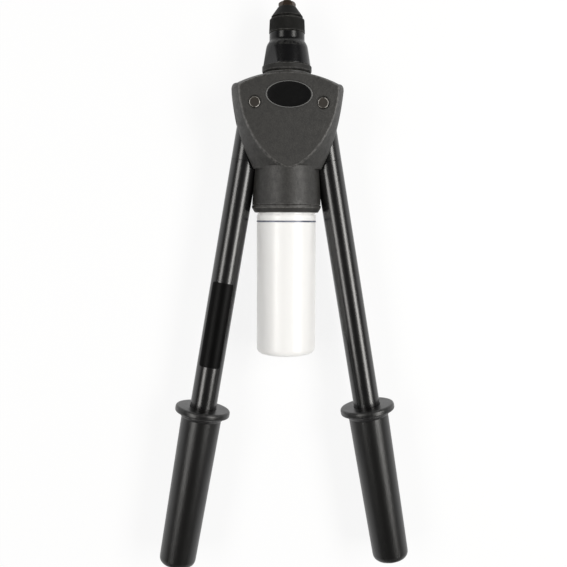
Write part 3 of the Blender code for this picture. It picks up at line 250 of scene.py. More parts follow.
def settle(piece, name, body, finish, slot, *nodes, lean=0.0, pivot_x=0.0):
    """Put a finished mesh in its place on its body, with its finish, for the nodes it shows."""
    count = len(piece.data.vertices)
    points = np.empty(count * 3, np.float32)
    piece.data.vertices.foreach_get("co", points)
    placed = in_tool(points.reshape(-1, 3), lean, pivot_x)
    piece.data.vertices.foreach_set("co", placed.astype(np.float32).ravel())
    piece.name = name
    piece.data.name = name
    piece.data.materials.clear()
    piece.data.materials.append(finish)
    shaded(piece)
    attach(piece, body)
    if nodes:
        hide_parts(*nodes)
    return piece


def half_outline(edge, inwards=0.0):
    """Closed housing outline, from the top middle round the right side, the foot and the left side.

    A circular arc for the crown, a quadratic corner, a cubic side down to the neck and a
    straight foot. Made smaller, each of these moves inwards, the slanting foot by its own share.
    """
    half_width = edge["half_width"] - inwards
    arc = edge["arc"] - inwards
    low = edge["low"] + edge["foot_up"] * inwards
    x = np.linspace(0.0, half_width - edge["round_in"], 34)
    crown = np.stack([x, edge["apex"] - inwards - arc + np.sqrt(arc ** 2 - x ** 2)], axis=1)
    shoulder = np.array([half_width, edge["shoulder_y"] - inwards])
    corner = np.array([half_width, crown[-1, 1]])
    t = np.linspace(0.0, 1.0, 14)[1:, None]
    bend = (1 - t) ** 2 * crown[-1] + 2 * t * (1 - t) * corner + t ** 2 * shoulder
    t = np.linspace(0.0, 1.0, 56)[1:, None]
    waist = np.array([edge["waist"][0] - inwards, edge["waist"][1]])
    hip = np.array([edge["hip"][0] - HIP_SHARE * inwards, edge["hip"][1]])
    foot = np.array([edge["end_x"] - edge["foot_in"] * inwards, low])
    side = (1 - t) ** 3 * shoulder + 3 * t * (1 - t) ** 2 * waist
    side = side + 3 * t ** 2 * (1 - t) * hip + t ** 3 * foot
    t = np.linspace(0.0, 1.0, 12)[1:, None]
    floor = foot * (1 - t) + np.array([0.0, low]) * t
    half = np.concatenate([crown, bend, side, floor])
    mirror = half[-2:0:-1] * np.array([-1.0, 1.0])
    return np.concatenate([half, mirror])


def shell_rings(wall, parting, start, brow, top):
    """Rings of one half from the parting plane up the side, over the flank and onto the shield.

    The flank blends the body's outline into the shield's by the share u to the power FLANK_CURVE,
    where u is the height above the flank's start over the flank's height.
    """
    body = half_outline(BODY_EDGE, wall)
    shield = half_outline(SHIELD_EDGE, wall)
    rings = [(half_outline(BODY_EDGE, wall + 0.35), parting), (body, parting + 0.4)]
    rings += [(body, height) for height in np.linspace(parting + 2.0, start, 6)]
    for u in np.linspace(0.0, 1.0, 20)[1:]:
        rings.append((body + (shield - body) * u ** FLANK_CURVE, start + (brow - start) * u))
    for a in np.linspace(0.0, math.pi / 2.0, 6)[1:]:
        rounding = half_outline(SHIELD_EDGE, wall + (top - brow) * (1.0 - math.cos(a)))
        rings.append((rounding, brow + (top - brow) * math.sin(a)))
    edge = rings[-1][0]
    centre = np.array([0.0, -8.0])
    for share in (0.985, 0.9, 0.75, 0.5, 0.25, 0.0):
        rings.append((centre + (edge - centre) * share, top))
    return np.stack([np.column_stack([ring, np.full(len(ring), height)]) for ring, height in rings])


def housing_half(front):
    """One half of the housing: shell, neck, collar and bosses, then its hollows and holes."""
    outside = shell_rings(0.0, PARTING_Z, 12.0, 26.3, SHIELD_Z)
    inside = shell_rings(WALL, PARTING_Z, 11.0, 22.9, SHIELD_Z - WALL)
    grid = np.concatenate([inside[::-1], outside])
    wear_and_highlight_mark = np.zeros(len(grid))
    # These rows, the top of the flank and the rounding onto the shield, carry a painted highlight: the coat's
    # pale edge colour draws the light line along the shield's edge.
    wear_and_highlight_mark[-13:-6] = 1.0
    shell = skin("shell", grid, False, wear_and_highlight_mark)
    neck = [(0.0, -48.0, 0.0), (26.8, -48.0, 0.0), (26.8, -52.0, 0.0), (28.0, -78.5, 0.5),
            (25.9, -78.5, 0.0), (25.9, -83.1, 0.0), (0.0, -83.1, 0.0)]
    combine(shell, turned("neck", neck, 128), "UNION")
    collar = [(0.0, 16.4, 0.0), (18.9, 16.4, 0.0), (18.9, 26.4, 0.5), (0.0, 26.4, 0.0)]
    combine(shell, turned("collar", collar), "UNION")
    combine(shell, rod(20.2, 13.7, 24.9, 96, "Y"), "UNION")
    for side in SIDES.values():
        combine(shell, rod(8.5, 11.3, 25.2, 48, "Z", (side * PIVOT_X, 0.0)), "UNION")
        combine(shell, rod(3.5, -2.0, 25.2, 32, "Z", (side * SCREW_X, SCREW_Y)), "UNION")
    combine(shell, rod(NECK_BORE, -140.0, -42.0, 128, "Y"), "DIFFERENCE")
    combine(shell, rod(BARREL_BORE, 2.0, FAR, 96, "Y"), "DIFFERENCE")
    combine(shell, rod(FLANGE_POCKET, 16.1, 20.3, 96, "Y"), "DIFFERENCE")
    for side in SIDES.values():
        pivot = (side * PIVOT_X, 0.0)
        screw = (side * SCREW_X, SCREW_Y)
        near, far = sorted((side * SLOT_X, side * FAR))
        combine(shell, block("slot", (near, -55.0, -FAR), (far, 8.0, FORK_ROOM_Z)), "DIFFERENCE")
        combine(shell, rod(FORK_ROOM, -FAR, FORK_ROOM_Z, 64, "Z", pivot), "DIFFERENCE")
        nest = rod(TUBE_NEST, -200.0, 0.0, 64, "Y")
        lean = Matrix.Rotation(math.radians(side * REST_LEAN), 4, "Z")
        nest.data.transform(Matrix.Translation((*pivot, 0.0)) @ lean)
        combine(shell, nest, "DIFFERENCE")
        combine(shell, chamfered_hole(PIN_HOLE, 0.0, 0.9, 48, pivot), "DIFFERENCE")
        if not front:
            combine(shell, chamfered_hole(CLIP_SINK, 24.6, 0.5, 48, pivot), "DIFFERENCE")
            combine(shell, chamfered_hole(SCREW_SINK, 24.2, 0.5, 32, screw), "DIFFERENCE")
        combine(shell, rod(SCREW_HOLE, -10.0, 13.0 if front else FAR, 24, "Z", screw), "DIFFERENCE")
    if front:
        recess = oval_rows(18.6, 10.65, ((0.0, 26.0), (1.0, 26.0), (1.0, 40.0), (0.0, 40.0)), 96)
        combine(shell, skin("recess", recess), "DIFFERENCE")
    combine(shell, block("keep", (-120.0, -180.0, PARTING_Z), (120.0, 120.0, FAR)), "INTERSECT")
    if not front:
        shell.data.transform(Matrix.Scale(-1.0, 4, (0.0, 0.0, 1.0)))
        shell.data.flip_normals()
    return shell


def node(tree, kind, **values):
    """A shader node with some of its inputs and properties set."""
    made = tree.nodes.new(kind)
    for word, value in values.items():
        if word in made.inputs:
            made.inputs[word].default_value = value
        else:
            setattr(made, word, value)
    return made


def feed(tree, socket, value):
    """Link a socket to another one, or else set a number, a vector or a colour on it."""
    if isinstance(value, bpy.types.NodeSocket):
        tree.links.new(value, socket)
    elif socket.type == "RGBA":
        socket.default_value = (*value, 1.0)
    else:
        socket.default_value = value


def noise(tree, place, scale, detail, roughness):
    """Noise at a place."""
    made = node(tree, "ShaderNodeTexNoise", Detail=detail, Roughness=roughness)
    feed(tree, made.inputs["Vector"], place)
    feed(tree, made.inputs["Scale"], scale)
    return made.outputs["Fac"]


def spread(tree, value, start, end, low=0.0, high=1.0):
    """A value between start and end carried over to between low and high."""
    made = node(tree, "ShaderNodeMapRange")
    for word, amount in (("Value", value), ("From Min", start), ("From Max", end), ("To Min", low),
                         ("To Max", high)):
        feed(tree, made.inputs[word], amount)
    return made.outputs["Result"]


def mixed(tree, factor, first, last):
    """Colour between the first and the last by a factor."""
    made = node(tree, "ShaderNodeMix", data_type="RGBA")
    for word, value in (("Factor", factor), ("A", first), ("B", last)):
        feed(tree, made.inputs[word], value)
    return made.outputs["Result"]


def reckon(tree, operation, *values, clamp=False):
    """Result of a Math node on numbers or sockets."""
    made = node(tree, "ShaderNodeMath", operation=operation, use_clamp=clamp)
    for socket, value in zip(made.inputs, values):
        feed(tree, socket, value)
    return made.outputs[0]


def mark(tree, word):
    """The value that a mesh carries under a name."""
    return node(tree, "ShaderNodeAttribute", attribute_name=word).outputs["Fac"]


def effect(name, inputs, outputs):
    """An empty shader group, with the sockets it is given and the sockets of its result.

    Inputs are (name, kind, value) and outputs are (name, kind).
    """
    group = bpy.data.node_groups.new(name, "ShaderNodeTree")
    for word, kind, value in inputs:
        socket = group.interface.new_socket(word, in_out="INPUT", socket_type="NodeSocket" + kind)
        if value is not None:
            socket.default_value = value
    for word, kind in outputs:
        group.interface.new_socket(word, in_out="OUTPUT", socket_type="NodeSocket" + kind)
    given = group.nodes.new("NodeGroupInput").outputs
    result = group.nodes.new("NodeGroupOutput").inputs
    return group, given, result


def powder_skin_effect():
    """Fine orange-peel and slow blotches of a powder coat: tint between two colours, and height."""
    group, given, result = effect(
        "powder skin",
        [("Vector", "Vector", None), ("Dark", "Color", (0, 0, 0, 1)), ("Light", "Color", (1, 1, 1, 1)),
         ("Peel Scale", "Float", 900.0)],
        [("Color", "Color"), ("Roughness", "Float"), ("Height", "Float")])
    peel = noise(group, given["Vector"], given["Peel Scale"], 4.0, 0.62)
    blotch = noise(group, given["Vector"], 210.0, 3.0, 0.55)
    both = reckon(group, "MULTIPLY_ADD", peel, 0.55, reckon(group, "MULTIPLY", blotch, 0.45))
    share = spread(group, both, 0.36, 0.64)
    feed(group, result["Color"], mixed(group, share, given["Dark"], given["Light"]))
    feed(group, result["Roughness"], spread(group, share, 0.0, 1.0, 0.56, 0.42))
    feed(group, result["Height"], peel)
    return group


def wear_and_highlight_edge_effect():
    """Mask of marked edges: the mesh's own edge mark, broken up by noise. It places wear on most pieces, and
    a painted highlight on the shield's rounded edge and the pin heads.
    """
    group, given, result = effect(
        "wear and highlight edge",
        [("Vector", "Vector", None), ("Worn", "Float", 0.0), ("Amount", "Float", 1.0)],
        [("Mask", "Float")])
    patch = spread(group, noise(group, given["Vector"], 420.0, 5.0, 0.7), 0.38, 0.62)
    broken = reckon(group, "MULTIPLY", patch, given["Worn"])
    feed(group, result["Mask"], reckon(group, "MULTIPLY", broken, given["Amount"], clamp=True))
    return group


POWDER_SKIN = powder_skin_effect()
WEAR_AND_HIGHLIGHT_EDGE = wear_and_highlight_edge_effect()


def finish_start(name, colour, roughness, metallic=0.0, specular=0.5):
    """A Principled material: itself, its nodes, the shader's inputs and the Object coordinates."""
    material = bpy.data.materials.new(name)
    material.use_nodes = True
    tree = material.node_tree
    shader = tree.nodes["Principled BSDF"].inputs
    for word, value in (("Base Color", colour), ("Roughness", roughness), ("Metallic", metallic),
                        ("Specular IOR Level", specular)):
        feed(tree, shader[word], value)
    return material, tree, shader, node(tree, "ShaderNodeTexCoord").outputs["Object"]


def use_effect(tree, group, **values):
    """Place a group in a material with its inputs linked or set, and give its outputs."""
    made = tree.nodes.new("ShaderNodeGroup")
    made.node_tree = group
    for word, value in values.items():
        feed(tree, made.inputs[word.replace("_", " ")], value)
    return made.outputs


def raise_grain(tree, shader, height, distance, strength):
    """Feed a height, worth a distance in metres, to the shader's normal through a Bump node."""
    bump = node(tree, "ShaderNodeBump", Strength=strength, Distance=distance)
    feed(tree, bump.inputs["Height"], height)
    feed(tree, shader["Normal"], bump.outputs["Normal"])


def tint_wear_and_highlight(tree, colour, place, bare, amount):
    """Colour that turns to an edge colour where the mesh's edges are marked: wear on most pieces, and a
    painted highlight on the shield's rounded edge and the pin heads.
    """
    mask = use_effect(tree, WEAR_AND_HIGHLIGHT_EDGE, Vector=place, Worn=mark(tree, "wear_and_highlight_mark"), Amount=amount)["Mask"]
    return mixed(tree, mask, colour, bare)


def cast_coat():
    """Dark warm-grey powder coat on the castings, paler on marked edges: a painted highlight along the
    shield's rounded edge, and wear on the other rounded edges.
    """
    material, tree, shader, place = finish_start("powder coated casting", (0.04, 0.039, 0.037), 0.55)
    coat = use_effect(tree, POWDER_SKIN, Vector=place, Dark=(0.012, 0.0115, 0.0106),
                      Light=(0.033, 0.0318, 0.0296), Peel_Scale=950.0)
    # The pale edge colour is a painted highlight on the shield's rounded edge, and wear on the neck, collar
    # and ring edges.
    feed(tree, shader["Base Color"], tint_wear_and_highlight(tree, coat["Color"], place, (0.1, 0.097, 0.092), 0.9))
    feed(tree, shader["Roughness"], coat["Roughness"])
    raise_grain(tree, shader, coat["Height"], 0.0004, 0.5)
    return material


CAST_COAT = cast_coat()
settle(housing_half(False), "rear_shell", "housing", CAST_COAT, "cast_housing", "rear_housing")
settle(housing_half(True), "front_shell", "housing", CAST_COAT, "cast_housing", "front_housing")

# Fulcrum pins, their clips and the housing screws
# Turned steel pins that the levers swing on, sunk a little below the shield and held by open clips
# in the rear shell. Two socket screws close the housing from the back.


def turning_effect():
    """Rings left by a turning tool: one-dimensional noise along the piece's own axis."""
    group, given, result = effect(
        "turning rings", [("Along", "Float", 0.0), ("Rings", "Float", 9.0)],
        [("Line", "Float"), ("Height", "Float")])
    ring = node(group, "ShaderNodeTexNoise", noise_dimensions="1D", Scale=1.0, Detail=5.0,
                Roughness=0.75)
    feed(group, ring.inputs["W"], reckon(group, "MULTIPLY", given["Along"], given["Rings"]))
    feed(group, result["Line"], spread(group, ring.outputs["Fac"], 0.3, 0.7))
    feed(group, result["Height"], ring.outputs["Fac"])
    return group


TURNING_RINGS = turning_effect()


def turned_steel(name, dark, light, roughness, metallic, bare, rubbed, specular=0.5):
    """Steel with turning rings between two tints, turning to an edge colour at its marked edges: bare metal
    of wear, and on the pin heads a painted highlight.
    """
    material, tree, shader, place = finish_start(name, dark, roughness[0], metallic, specular)
    rings = use_effect(tree, TURNING_RINGS, Along=mark(tree, "along"), Rings=6.0)
    smudge = noise(tree, place, 160.0, 4.0, 0.6)
    tint = mixed(tree, reckon(tree, "MULTIPLY", rings["Line"], smudge), dark, light)
    feed(tree, shader["Base Color"], tint_wear_and_highlight(tree, tint, place, bare, rubbed))
    feed(tree, shader["Roughness"], spread(tree, smudge, 0.0, 1.0, *roughness))
    raise_grain(tree, shader, rings["Height"], 0.000008, 0.3)
    return material


# The pins' pale edge colour paints highlight crescents on the rounded rims of the pin heads.
PIN_STEEL = turned_steel("browned pin steel", (0.026, 0.022, 0.018), (0.05, 0.043, 0.036), (0.36, 0.52),
                         0.3, (0.55, 0.53, 0.5), 1.0)
BRIGHT_STEEL = turned_steel("zinc plated steel", (0.48, 0.48, 0.5), (0.62, 0.62, 0.63), (0.24, 0.42),
                            1.0, (0.75, 0.75, 0.76), 0.5)
SCREW_STEEL = turned_steel("blackened screw steel", (0.018, 0.018, 0.019), (0.032, 0.032, 0.033),
                           (0.35, 0.5), 0.6, (0.3, 0.3, 0.3), 0.7)
for word, side in SIDES.items():
    pivot = (side * PIVOT_X, 0.0)
    shank = [(0.0, 26.0, 0.0), (4.2, 26.0, 0.45), (4.2, -24.65, 0.0), (3.6, -24.75, 0.0),
             (3.6, -26.25, 0.0), (4.2, -26.4, 0.0), (4.2, -26.7, 0.3), (0.0, -26.7, 0.0)]
    settle(turned("pin", shank, 64, "Z", pivot), word + "_fulcrum_pin_turned", "housing", PIN_STEEL,
           "matte_steel", word + "_fulcrum_pin")
    ring = [(3.9, -24.95, 0.0), (7.0, -24.95, 0.25), (7.0, -26.1, 0.25), (3.9, -26.1, 0.15)]
    clip = turned("clip", ring, 64, "Z", pivot, True)
    mouth = block("mouth", (pivot[0] - 1.6, -14.0, -FAR), (pivot[0] + 1.6, 0.0, FAR))
    combine(clip, mouth, "DIFFERENCE")
    settle(clip, word + "_open_clip", "housing", BRIGHT_STEEL, "bright_steel", word + "_pin_clip")
    screw_at = (side * SCREW_X, SCREW_Y)
    screw = [(0.0, 12.0, 0.0), (1.6, 12.0, 0.3), (1.6, -24.5, 0.0), (2.9, -24.5, 0.0),
             (2.9, -26.7, 0.35), (0.0, -26.7, 0.0)]
    made = turned("screw", screw, 48, "Z", screw_at)
    combine(made, rod(1.5, -FAR, -25.3, 6, "Z", screw_at), "DIFFERENCE")
    settle(made, "socket_screw_" + word, "housing", SCREW_STEEL, "matte_steel", "housing_screw_" + word)

# Name plate
# A thin pressed oval plate glued in a shallow recess between the pins, gloss black with a fine rim.
# It is left bare.


def oval_plate():
    """Thin plate with a raised rim, each row an oval of (size, height, 1 on the rim)."""
    rows = [(0.0, 26.3, 0), (0.99, 26.3, 0), (1.0, 26.4, 0), (1.0, 27.15, 0), (0.995, 27.24, 1),
            (0.98, 27.3, 1), (0.945, 27.3, 1), (0.935, 27.24, 0), (0.925, 27.2, 0), (0.6, 27.22, 0),
            (0.3, 27.23, 0), (0.0, 27.23, 0)]
    grid = oval_rows(18.3, 10.35, [row[:2] for row in rows], 128)
    return skin("plate", grid, False, [float(rim) for _, _, rim in rows])


def plate_gloss():
    """Gloss black enamel with faint wiping marks, and grey on the raised rim as a painted highlight."""
    enamel = (0.004, 0.004, 0.004)
    material, tree, shader, place = finish_start("black enamel plate", enamel, 0.22)
    wipe = noise(tree, place, 380.0, 5.0, 0.7)
    feed(tree, shader["Roughness"], spread(tree, wipe, 0.0, 1.0, 0.16, 0.3))
    # The grey on the rim rows is a painted highlight along the plate's raised rim.
    feed(tree, shader["Base Color"], mixed(tree, mark(tree, "wear_and_highlight_mark"), enamel, (0.13, 0.13, 0.128)))
    return material


settle(oval_plate(), "bare_oval_plate", "housing", plate_gloss(), "plate_black", "name_plate")

# Pull head
# The moving core: a hollow pull rod with its crosshead and nuts, and the jaw case that holds
# three hardened jaws, a pusher and a spring. All turned or milled steel, zinc plated.

pull_rod = [(6.5, -65.3, 0.4), (6.5, -43.2, 0.0), (8.2, -43.2, 0.4), (8.2, -40.2, 0.4),
            (6.5, -40.2, 0.0), (6.5, 19.7, 0.3), (3.6, 19.7, 0.0), (3.6, -65.3, 0.0)]
settle(turned("rod", pull_rod, 64, closed=True), "hollow_pull_rod", "pull_head", BRIGHT_STEEL,
       "bright_steel", "pull_tube")
case = [(11.1, 11.4, 0.5), (11.1, 48.4, 1.4), (4.7, 48.4, 0.0), (9.19, 31.64, 0.0),
        (9.19, 20.0, 0.0), (6.8, 20.0, 0.0), (6.8, 11.4, 0.0)]
settle(turned("case", case, 64, closed=True), "turned_jaw_case", "pull_head", BRIGHT_STEEL,
       "bright_steel", "jaw_case")


def round_skin(name, radius, profile, wear_and_highlight_mark, closed):
    """Skin of the points (r sin a, h, r cos a), with r given per row and angle and h per row."""
    a = angles(radius.shape[1])
    height = np.repeat(profile[:, 1][:, None], len(a), axis=1)
    grid = np.stack([radius * np.sin(a), height, radius * np.cos(a)], axis=-1)
    return skin(name, grid, closed, wear_and_highlight_mark, profile[:, 1])


def six_sided(name, corners, across):
    """Turned profile cut to a hexagon: the radius is the smaller of the profile's and the flat's.

    The flat's radius at angle a is half the size across flats over the cosine of a's distance
    from the nearest flat's middle.
    """
    profile, wear_and_highlight_mark = eased(corners, True)
    sixth = math.pi / 3.0
    from_middle = (angles(96) + sixth / 2.0) % sixth - sixth / 2.0
    flat = across / 2.0 / np.cos(from_middle)
    return round_skin(name, np.minimum(profile[:, 0][:, None], flat[None, :]), profile, wear_and_highlight_mark, True)


for name, high in (("crosshead_nut", -56.8), ("case_lock_nut", 11.1)):
    hexagon = [(6.8, high, 0.0), (8.3, high, 0.0), (9.4, high - 0.6, 0.0), (9.4, high - 3.4, 0.0),
               (8.3, high - 4.0, 0.0), (6.8, high - 4.0, 0.0)]
    settle(six_sided("nut", hexagon, 16.28), "chamfered_" + name, "pull_head", BRIGHT_STEEL,
           "bright_steel", name)


def coil_spring(low, high):
    """Round wire of radius w on a helix of radius r: its axis is (r sin a, y, r cos a), where y
    climbs evenly with the angle a. Each ring of the wire is w (cos b * outward + sin b * upright).
    """
    wire, radius, turns, rings, sides = 0.65, 6.85, 3.5, 126, 14
    a = np.linspace(0.0, 2.0 * math.pi * turns, rings)
    y = np.linspace(low + wire, high - wire, rings)
    rise = (y[-1] - y[0]) / (2.0 * math.pi * turns)
    centre = np.stack([radius * np.sin(a), y, radius * np.cos(a)], axis=1)
    outward = np.stack([np.sin(a), np.zeros(rings), np.cos(a)], axis=1)
    forward = np.stack([radius * np.cos(a), np.full(rings, rise), -radius * np.sin(a)], axis=1)
    forward = forward / np.linalg.norm(forward, axis=1)[:, None]
    upright = np.cross(forward, outward)
    b = angles(sides)[None, :, None]
    grid = centre[:, None] + wire * (np.cos(b) * outward[:, None] + np.sin(b) * upright[:, None])
    ends = [np.repeat(centre[[index]][None], sides, axis=1) for index in (0, -1)]
    return skin("spring", np.concatenate([ends[0], grid, ends[1]]))


spring_low, spring_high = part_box("jaw_spring")
spring_ends = [(end[1] - FULCRUM[1]) * 1000.0 for end in (spring_low, spring_high)]
spring = settle(coil_spring(*spring_ends), "coiled_jaw_spring", "pull_head", BRIGHT_STEEL,
                "bright_steel", "jaw_spring")
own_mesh(spring)
for name in ("crosshead", "jaw_pusher", "jaw_1", "jaw_2", "jaw_3", "left_link", "right_link"):
    carried = frame["nodes"][name]
    carried.data.materials.clear()
    carried.data.materials.append(BRIGHT_STEEL)

# Toggle links' pins
# Ground pins, one through each fork and one through each side of the crosshead. A link pin is set
# off from the lever's own line by an angle at the fulcrum.

LINK_ARM = 13.0
LINK_ANGLE = math.radians(25.0)
LINK_PIN = np.array([LINK_ARM * math.sin(LINK_ANGLE), -LINK_ARM * math.cos(LINK_ANGLE)])
CROSSHEAD_PIN = np.array([15.0, -50.0])


def on_lever(piece, word, name, finish, slot, stands_for):
    """Settle a piece that is drawn along an upright lever on the left or the right lever."""
    settle(piece, word + "_" + name, word + "_lever", finish, slot, word + "_" + stands_for,
           lean=SIDES[word] * REST_LEAN, pivot_x=SIDES[word] * PIVOT_X)


for word, side in SIDES.items():
    pin = [(0.0, -10.2, 0.0), (3.2, -10.2, 0.4), (3.2, 10.2, 0.4), (0.0, 10.2, 0.0)]
    on_lever(turned("pin", pin, 48, "Z", LINK_PIN * (side, 1.0)), word, "ground_link_pin", BRIGHT_STEEL,
             "bright_steel", "link_pin")
    pin = [(0.0, -9.0, 0.0), (3.0, -9.0, 0.4), (3.0, 9.0, 0.4), (0.0, 9.0, 0.0)]
    settle(turned("pin", pin, 48, "Z", CROSSHEAD_PIN * (side, 1.0)), word + "_ground_crosshead_pin",
           "pull_head", BRIGHT_STEEL, "bright_steel", word + "_crosshead_pin")

# Lever forks
# Forged forks: a round boss on the fulcrum pin, two cheeks round the link, and a shank that is
# driven into the handle tube. Painted black with the tube.

TUBE_PIN_AT = (0.0, -64.0)


def paint_effect():
    """Slight orange peel and haze of a sprayed gloss paint: haze for roughness, and height."""
    group, given, result = effect("sprayed paint", [("Vector", "Vector", None)],
                                  [("Haze", "Float"), ("Height", "Float")])
    feed(group, result["Haze"], noise(group, given["Vector"], 75.0, 6.0, 0.65))
    feed(group, result["Height"], noise(group, given["Vector"], 520.0, 2.0, 0.5))
    return group


def black_paint():
    """Semi-gloss black paint, rubbed a little at its edges."""
    material, tree, shader, place = finish_start("semi-gloss black paint", (0.004, 0.004, 0.004), 0.24,
                                                 0.0, 0.7)
    spray = use_effect(tree, paint_effect(), Vector=place)
    tint = mixed(tree, spray["Haze"], (0.0035, 0.0035, 0.0037), (0.0055, 0.0053, 0.0054))
    feed(tree, shader["Base Color"], tint_wear_and_highlight(tree, tint, place, (0.05, 0.05, 0.05), 0.6))
    feed(tree, shader["Roughness"], spread(tree, spray["Haze"], 0.0, 1.0, 0.21, 0.3))
    raise_grain(tree, shader, spray["Height"], 0.00001, 0.25)
    return material


def link_sweep(side):
    """Tool for the room that the link sweeps in the fork, from closed to fully open.

    The far eye of the link stays at the crosshead pin's distance from the middle, so the sine of
    its lean is the sideways distance between its two pins over its length.
    """
    fully_open, half_width, half_depth = math.radians(45.0), 4.7, 5.0
    lever_lean = math.radians(REST_LEAN)
    sideways = PIVOT_X - CROSSHEAD_PIN[0]
    rest = LINK_ANGLE + lever_lean
    length = math.hypot(sideways + LINK_ARM * math.sin(rest), LINK_ARM * math.cos(rest) + CROSSHEAD_PIN[1])
    corners = []
    for opening, edge, far in ((0.0, 1, 0), (0.0, 1, 1), (fully_open, -1, 1), (fully_open, -1, 0)):
        lean = math.asin((sideways + LINK_ARM * math.sin(rest + opening)) / length)
        angle = lever_lean + opening + lean
        corner = LINK_PIN + edge * half_width * np.array([math.cos(angle), -math.sin(angle)])
        corners.append(corner - far * FAR * np.array([math.sin(angle), math.cos(angle)]))
    outline = np.array(corners) * (side, 1.0)
    middle = outline.mean(axis=0)
    rows = [np.column_stack([middle + (outline - middle) * share, np.full(4, height)])
            for share, height in ((0, -half_depth), (1, -half_depth), (1, half_depth), (0, half_depth))]
    return skin("sweep", np.stack(rows))


def forged_fork(side):
    """Boss and bar, then the link's room, the two pin holes and the tube pin's hole."""
    boss = [(0.0, -11.0, 0.0), (12.5, -11.0, 1.0), (12.5, 11.0, 1.0), (0.0, 11.0, 0.0)]
    fork = turned("fork", boss, 96, "Z")
    bar = [(0.0, 0.0, 0.0), (11.0, 0.0, 0.0), (11.0, -44.0, -0.12), (9.2, -44.0, 0.0), (9.2, -82.0, 0.0),
           (7.2, -84.0, 0.0), (0.0, -84.0, 0.0)]
    combine(fork, turned("bar", bar, 96), "UNION")
    link_pin = LINK_PIN * (side, 1.0)
    combine(fork, rod(6.2, -10.2, 10.2, 48, "Z", link_pin), "UNION")
    combine(fork, link_sweep(side), "DIFFERENCE")
    for radius, low, high, at in ((6.8, -5.0, 5.0, link_pin), (3.5, -FAR, FAR, link_pin),
                                  (PIN_HOLE, -FAR, FAR, (0.0, 0.0)), (2.8, -FAR, 6.3, TUBE_PIN_AT)):
        combine(fork, rod(radius, low, high, 48, "Z", at), "DIFFERENCE")
    return fork


BLACK_PAINT = black_paint()
for word, side in SIDES.items():
    on_lever(forged_fork(side), word, "forged_fork", BLACK_PAINT, "black_paint", "lever_fork")

# Handle tubes
# Drawn steel tubes pushed over the forks' shanks, each held by a spring pin from behind, and
# painted semi-gloss black. The left one carries a black vinyl sticker, left bare.

for word in SIDES:
    walls = [(11.0, -44.3, -0.12), (11.0, -379.5, 0.2), (9.5, -379.5, 0.0), (9.5, -44.3, 0.0)]
    tube = turned("tube", walls, 128, closed=True)
    combine(tube, rod(2.8, -FAR, 0.0, 32, "Z", TUBE_PIN_AT), "DIFFERENCE")
    on_lever(tube, word, "drawn_tube", BLACK_PAINT, "black_paint", "tube")
    pin = [(1.2, -10.85, 0.0), (2.5, -10.85, 0.35), (2.5, 6.0, 0.35), (1.2, 6.0, 0.0)]
    on_lever(turned("pin", pin, 40, "Z", TUBE_PIN_AT, True), word, "spring_pin", BRIGHT_STEEL,
             "bright_steel", "tube_pin")


def tube_sticker():
    """Sheet on the tube: angle within half(y) of the middle, radius 11.03 inside and 11.15 outside.

    half(y) is 50 degrees, less the rounding of the two corners near each end.
    """
    low, high, corner, inner, thickness, columns = -214.3, -143.8, 2.2, 11.03, 0.12, 33
    end = corner * (1.0 - np.cos(np.linspace(0.0, math.pi / 2.0, 9)))
    y = np.concatenate([low + end, np.linspace(low + 3.0, high - 3.0, 24), (high - end)[::-1]])
    inset = np.minimum(y - low, high - y)
    cut = corner - np.sqrt(np.clip(corner ** 2 - np.clip(corner - inset, 0.0, None) ** 2, 0.0, None))
    half = math.radians(50.0) - cut / 11.0
    across = np.linspace(-1.0, 1.0, columns)
    angle = np.concatenate([across, across[::-1]])[None, :] * half[:, None] - math.radians(4.0)
    thick = np.where(inset > 1e-6, thickness, 0.0)[:, None]
    outer = np.concatenate([np.ones(columns), np.zeros(columns)])[None, :]
    radius = inner + thick * outer
    height = np.repeat(y[:, None], 2 * columns, axis=1)
    return skin("sticker", np.stack([radius * np.sin(angle), height, radius * np.cos(angle)], axis=-1))


def vinyl():
    """Bare satin black vinyl with fine creases of handling."""
    material, tree, shader, place = finish_start("black vinyl", (0.0012, 0.0012, 0.0012), 0.5, 0.0, 0.08)
    crease = noise(tree, place, 260.0, 6.0, 0.7)
    feed(tree, shader["Roughness"], spread(tree, crease, 0.0, 1.0, 0.36, 0.5))
    tint = mixed(tree, crease, (0.0009, 0.0009, 0.0009), (0.0018, 0.0018, 0.0018))
    feed(tree, shader["Base Color"], tint)
    raise_grain(tree, shader, crease, 0.00002, 0.4)
    return material


settle(tube_sticker(), "bare_tube_sticker", "left_lever", vinyl(), "plate_black", lean=-REST_LEAN,
       pivot_x=-PIVOT_X)

# Grips
# Moulded rubber sleeves pushed on the tube ends: a hand guard flange, a bead under it, a tapered
# sleeve with a fine pebble grain, and a closed round end.


def pebble_effect():
    """Fine moulded pebble: rounded cells, and slow shine changes where hands polish the rubber."""
    group, given, result = effect("rubber pebble", [("Vector", "Vector", None)],
                                  [("Height", "Float"), ("Polish", "Float")])
    cell = node(group, "ShaderNodeTexVoronoi", feature="SMOOTH_F1", Scale=1500.0, Smoothness=0.6)
    feed(group, cell.inputs["Vector"], given["Vector"])
    feed(group, result["Height"], cell.outputs["Distance"])
    feed(group, result["Polish"], noise(group, given["Vector"], 60.0, 4.0, 0.6))
    return group


def grip_rubber():
    """Satin black rubber."""
    material, tree, shader, place = finish_start("black grip rubber", (0.004, 0.004, 0.004), 0.4, 0.0, 0.5)
    pebble = use_effect(tree, pebble_effect(), Vector=place)
    tint = mixed(tree, pebble["Polish"], (0.0032, 0.0032, 0.0032), (0.0062, 0.006, 0.0058))
    feed(tree, shader["Base Color"], tint_wear_and_highlight(tree, tint, place, (0.035, 0.035, 0.035), 0.6))
    feed(tree, shader["Roughness"], spread(tree, pebble["Polish"], 0.0, 1.0, 0.4, 0.28))
    raise_grain(tree, shader, pebble["Height"], 0.00012, 0.5)
    return material


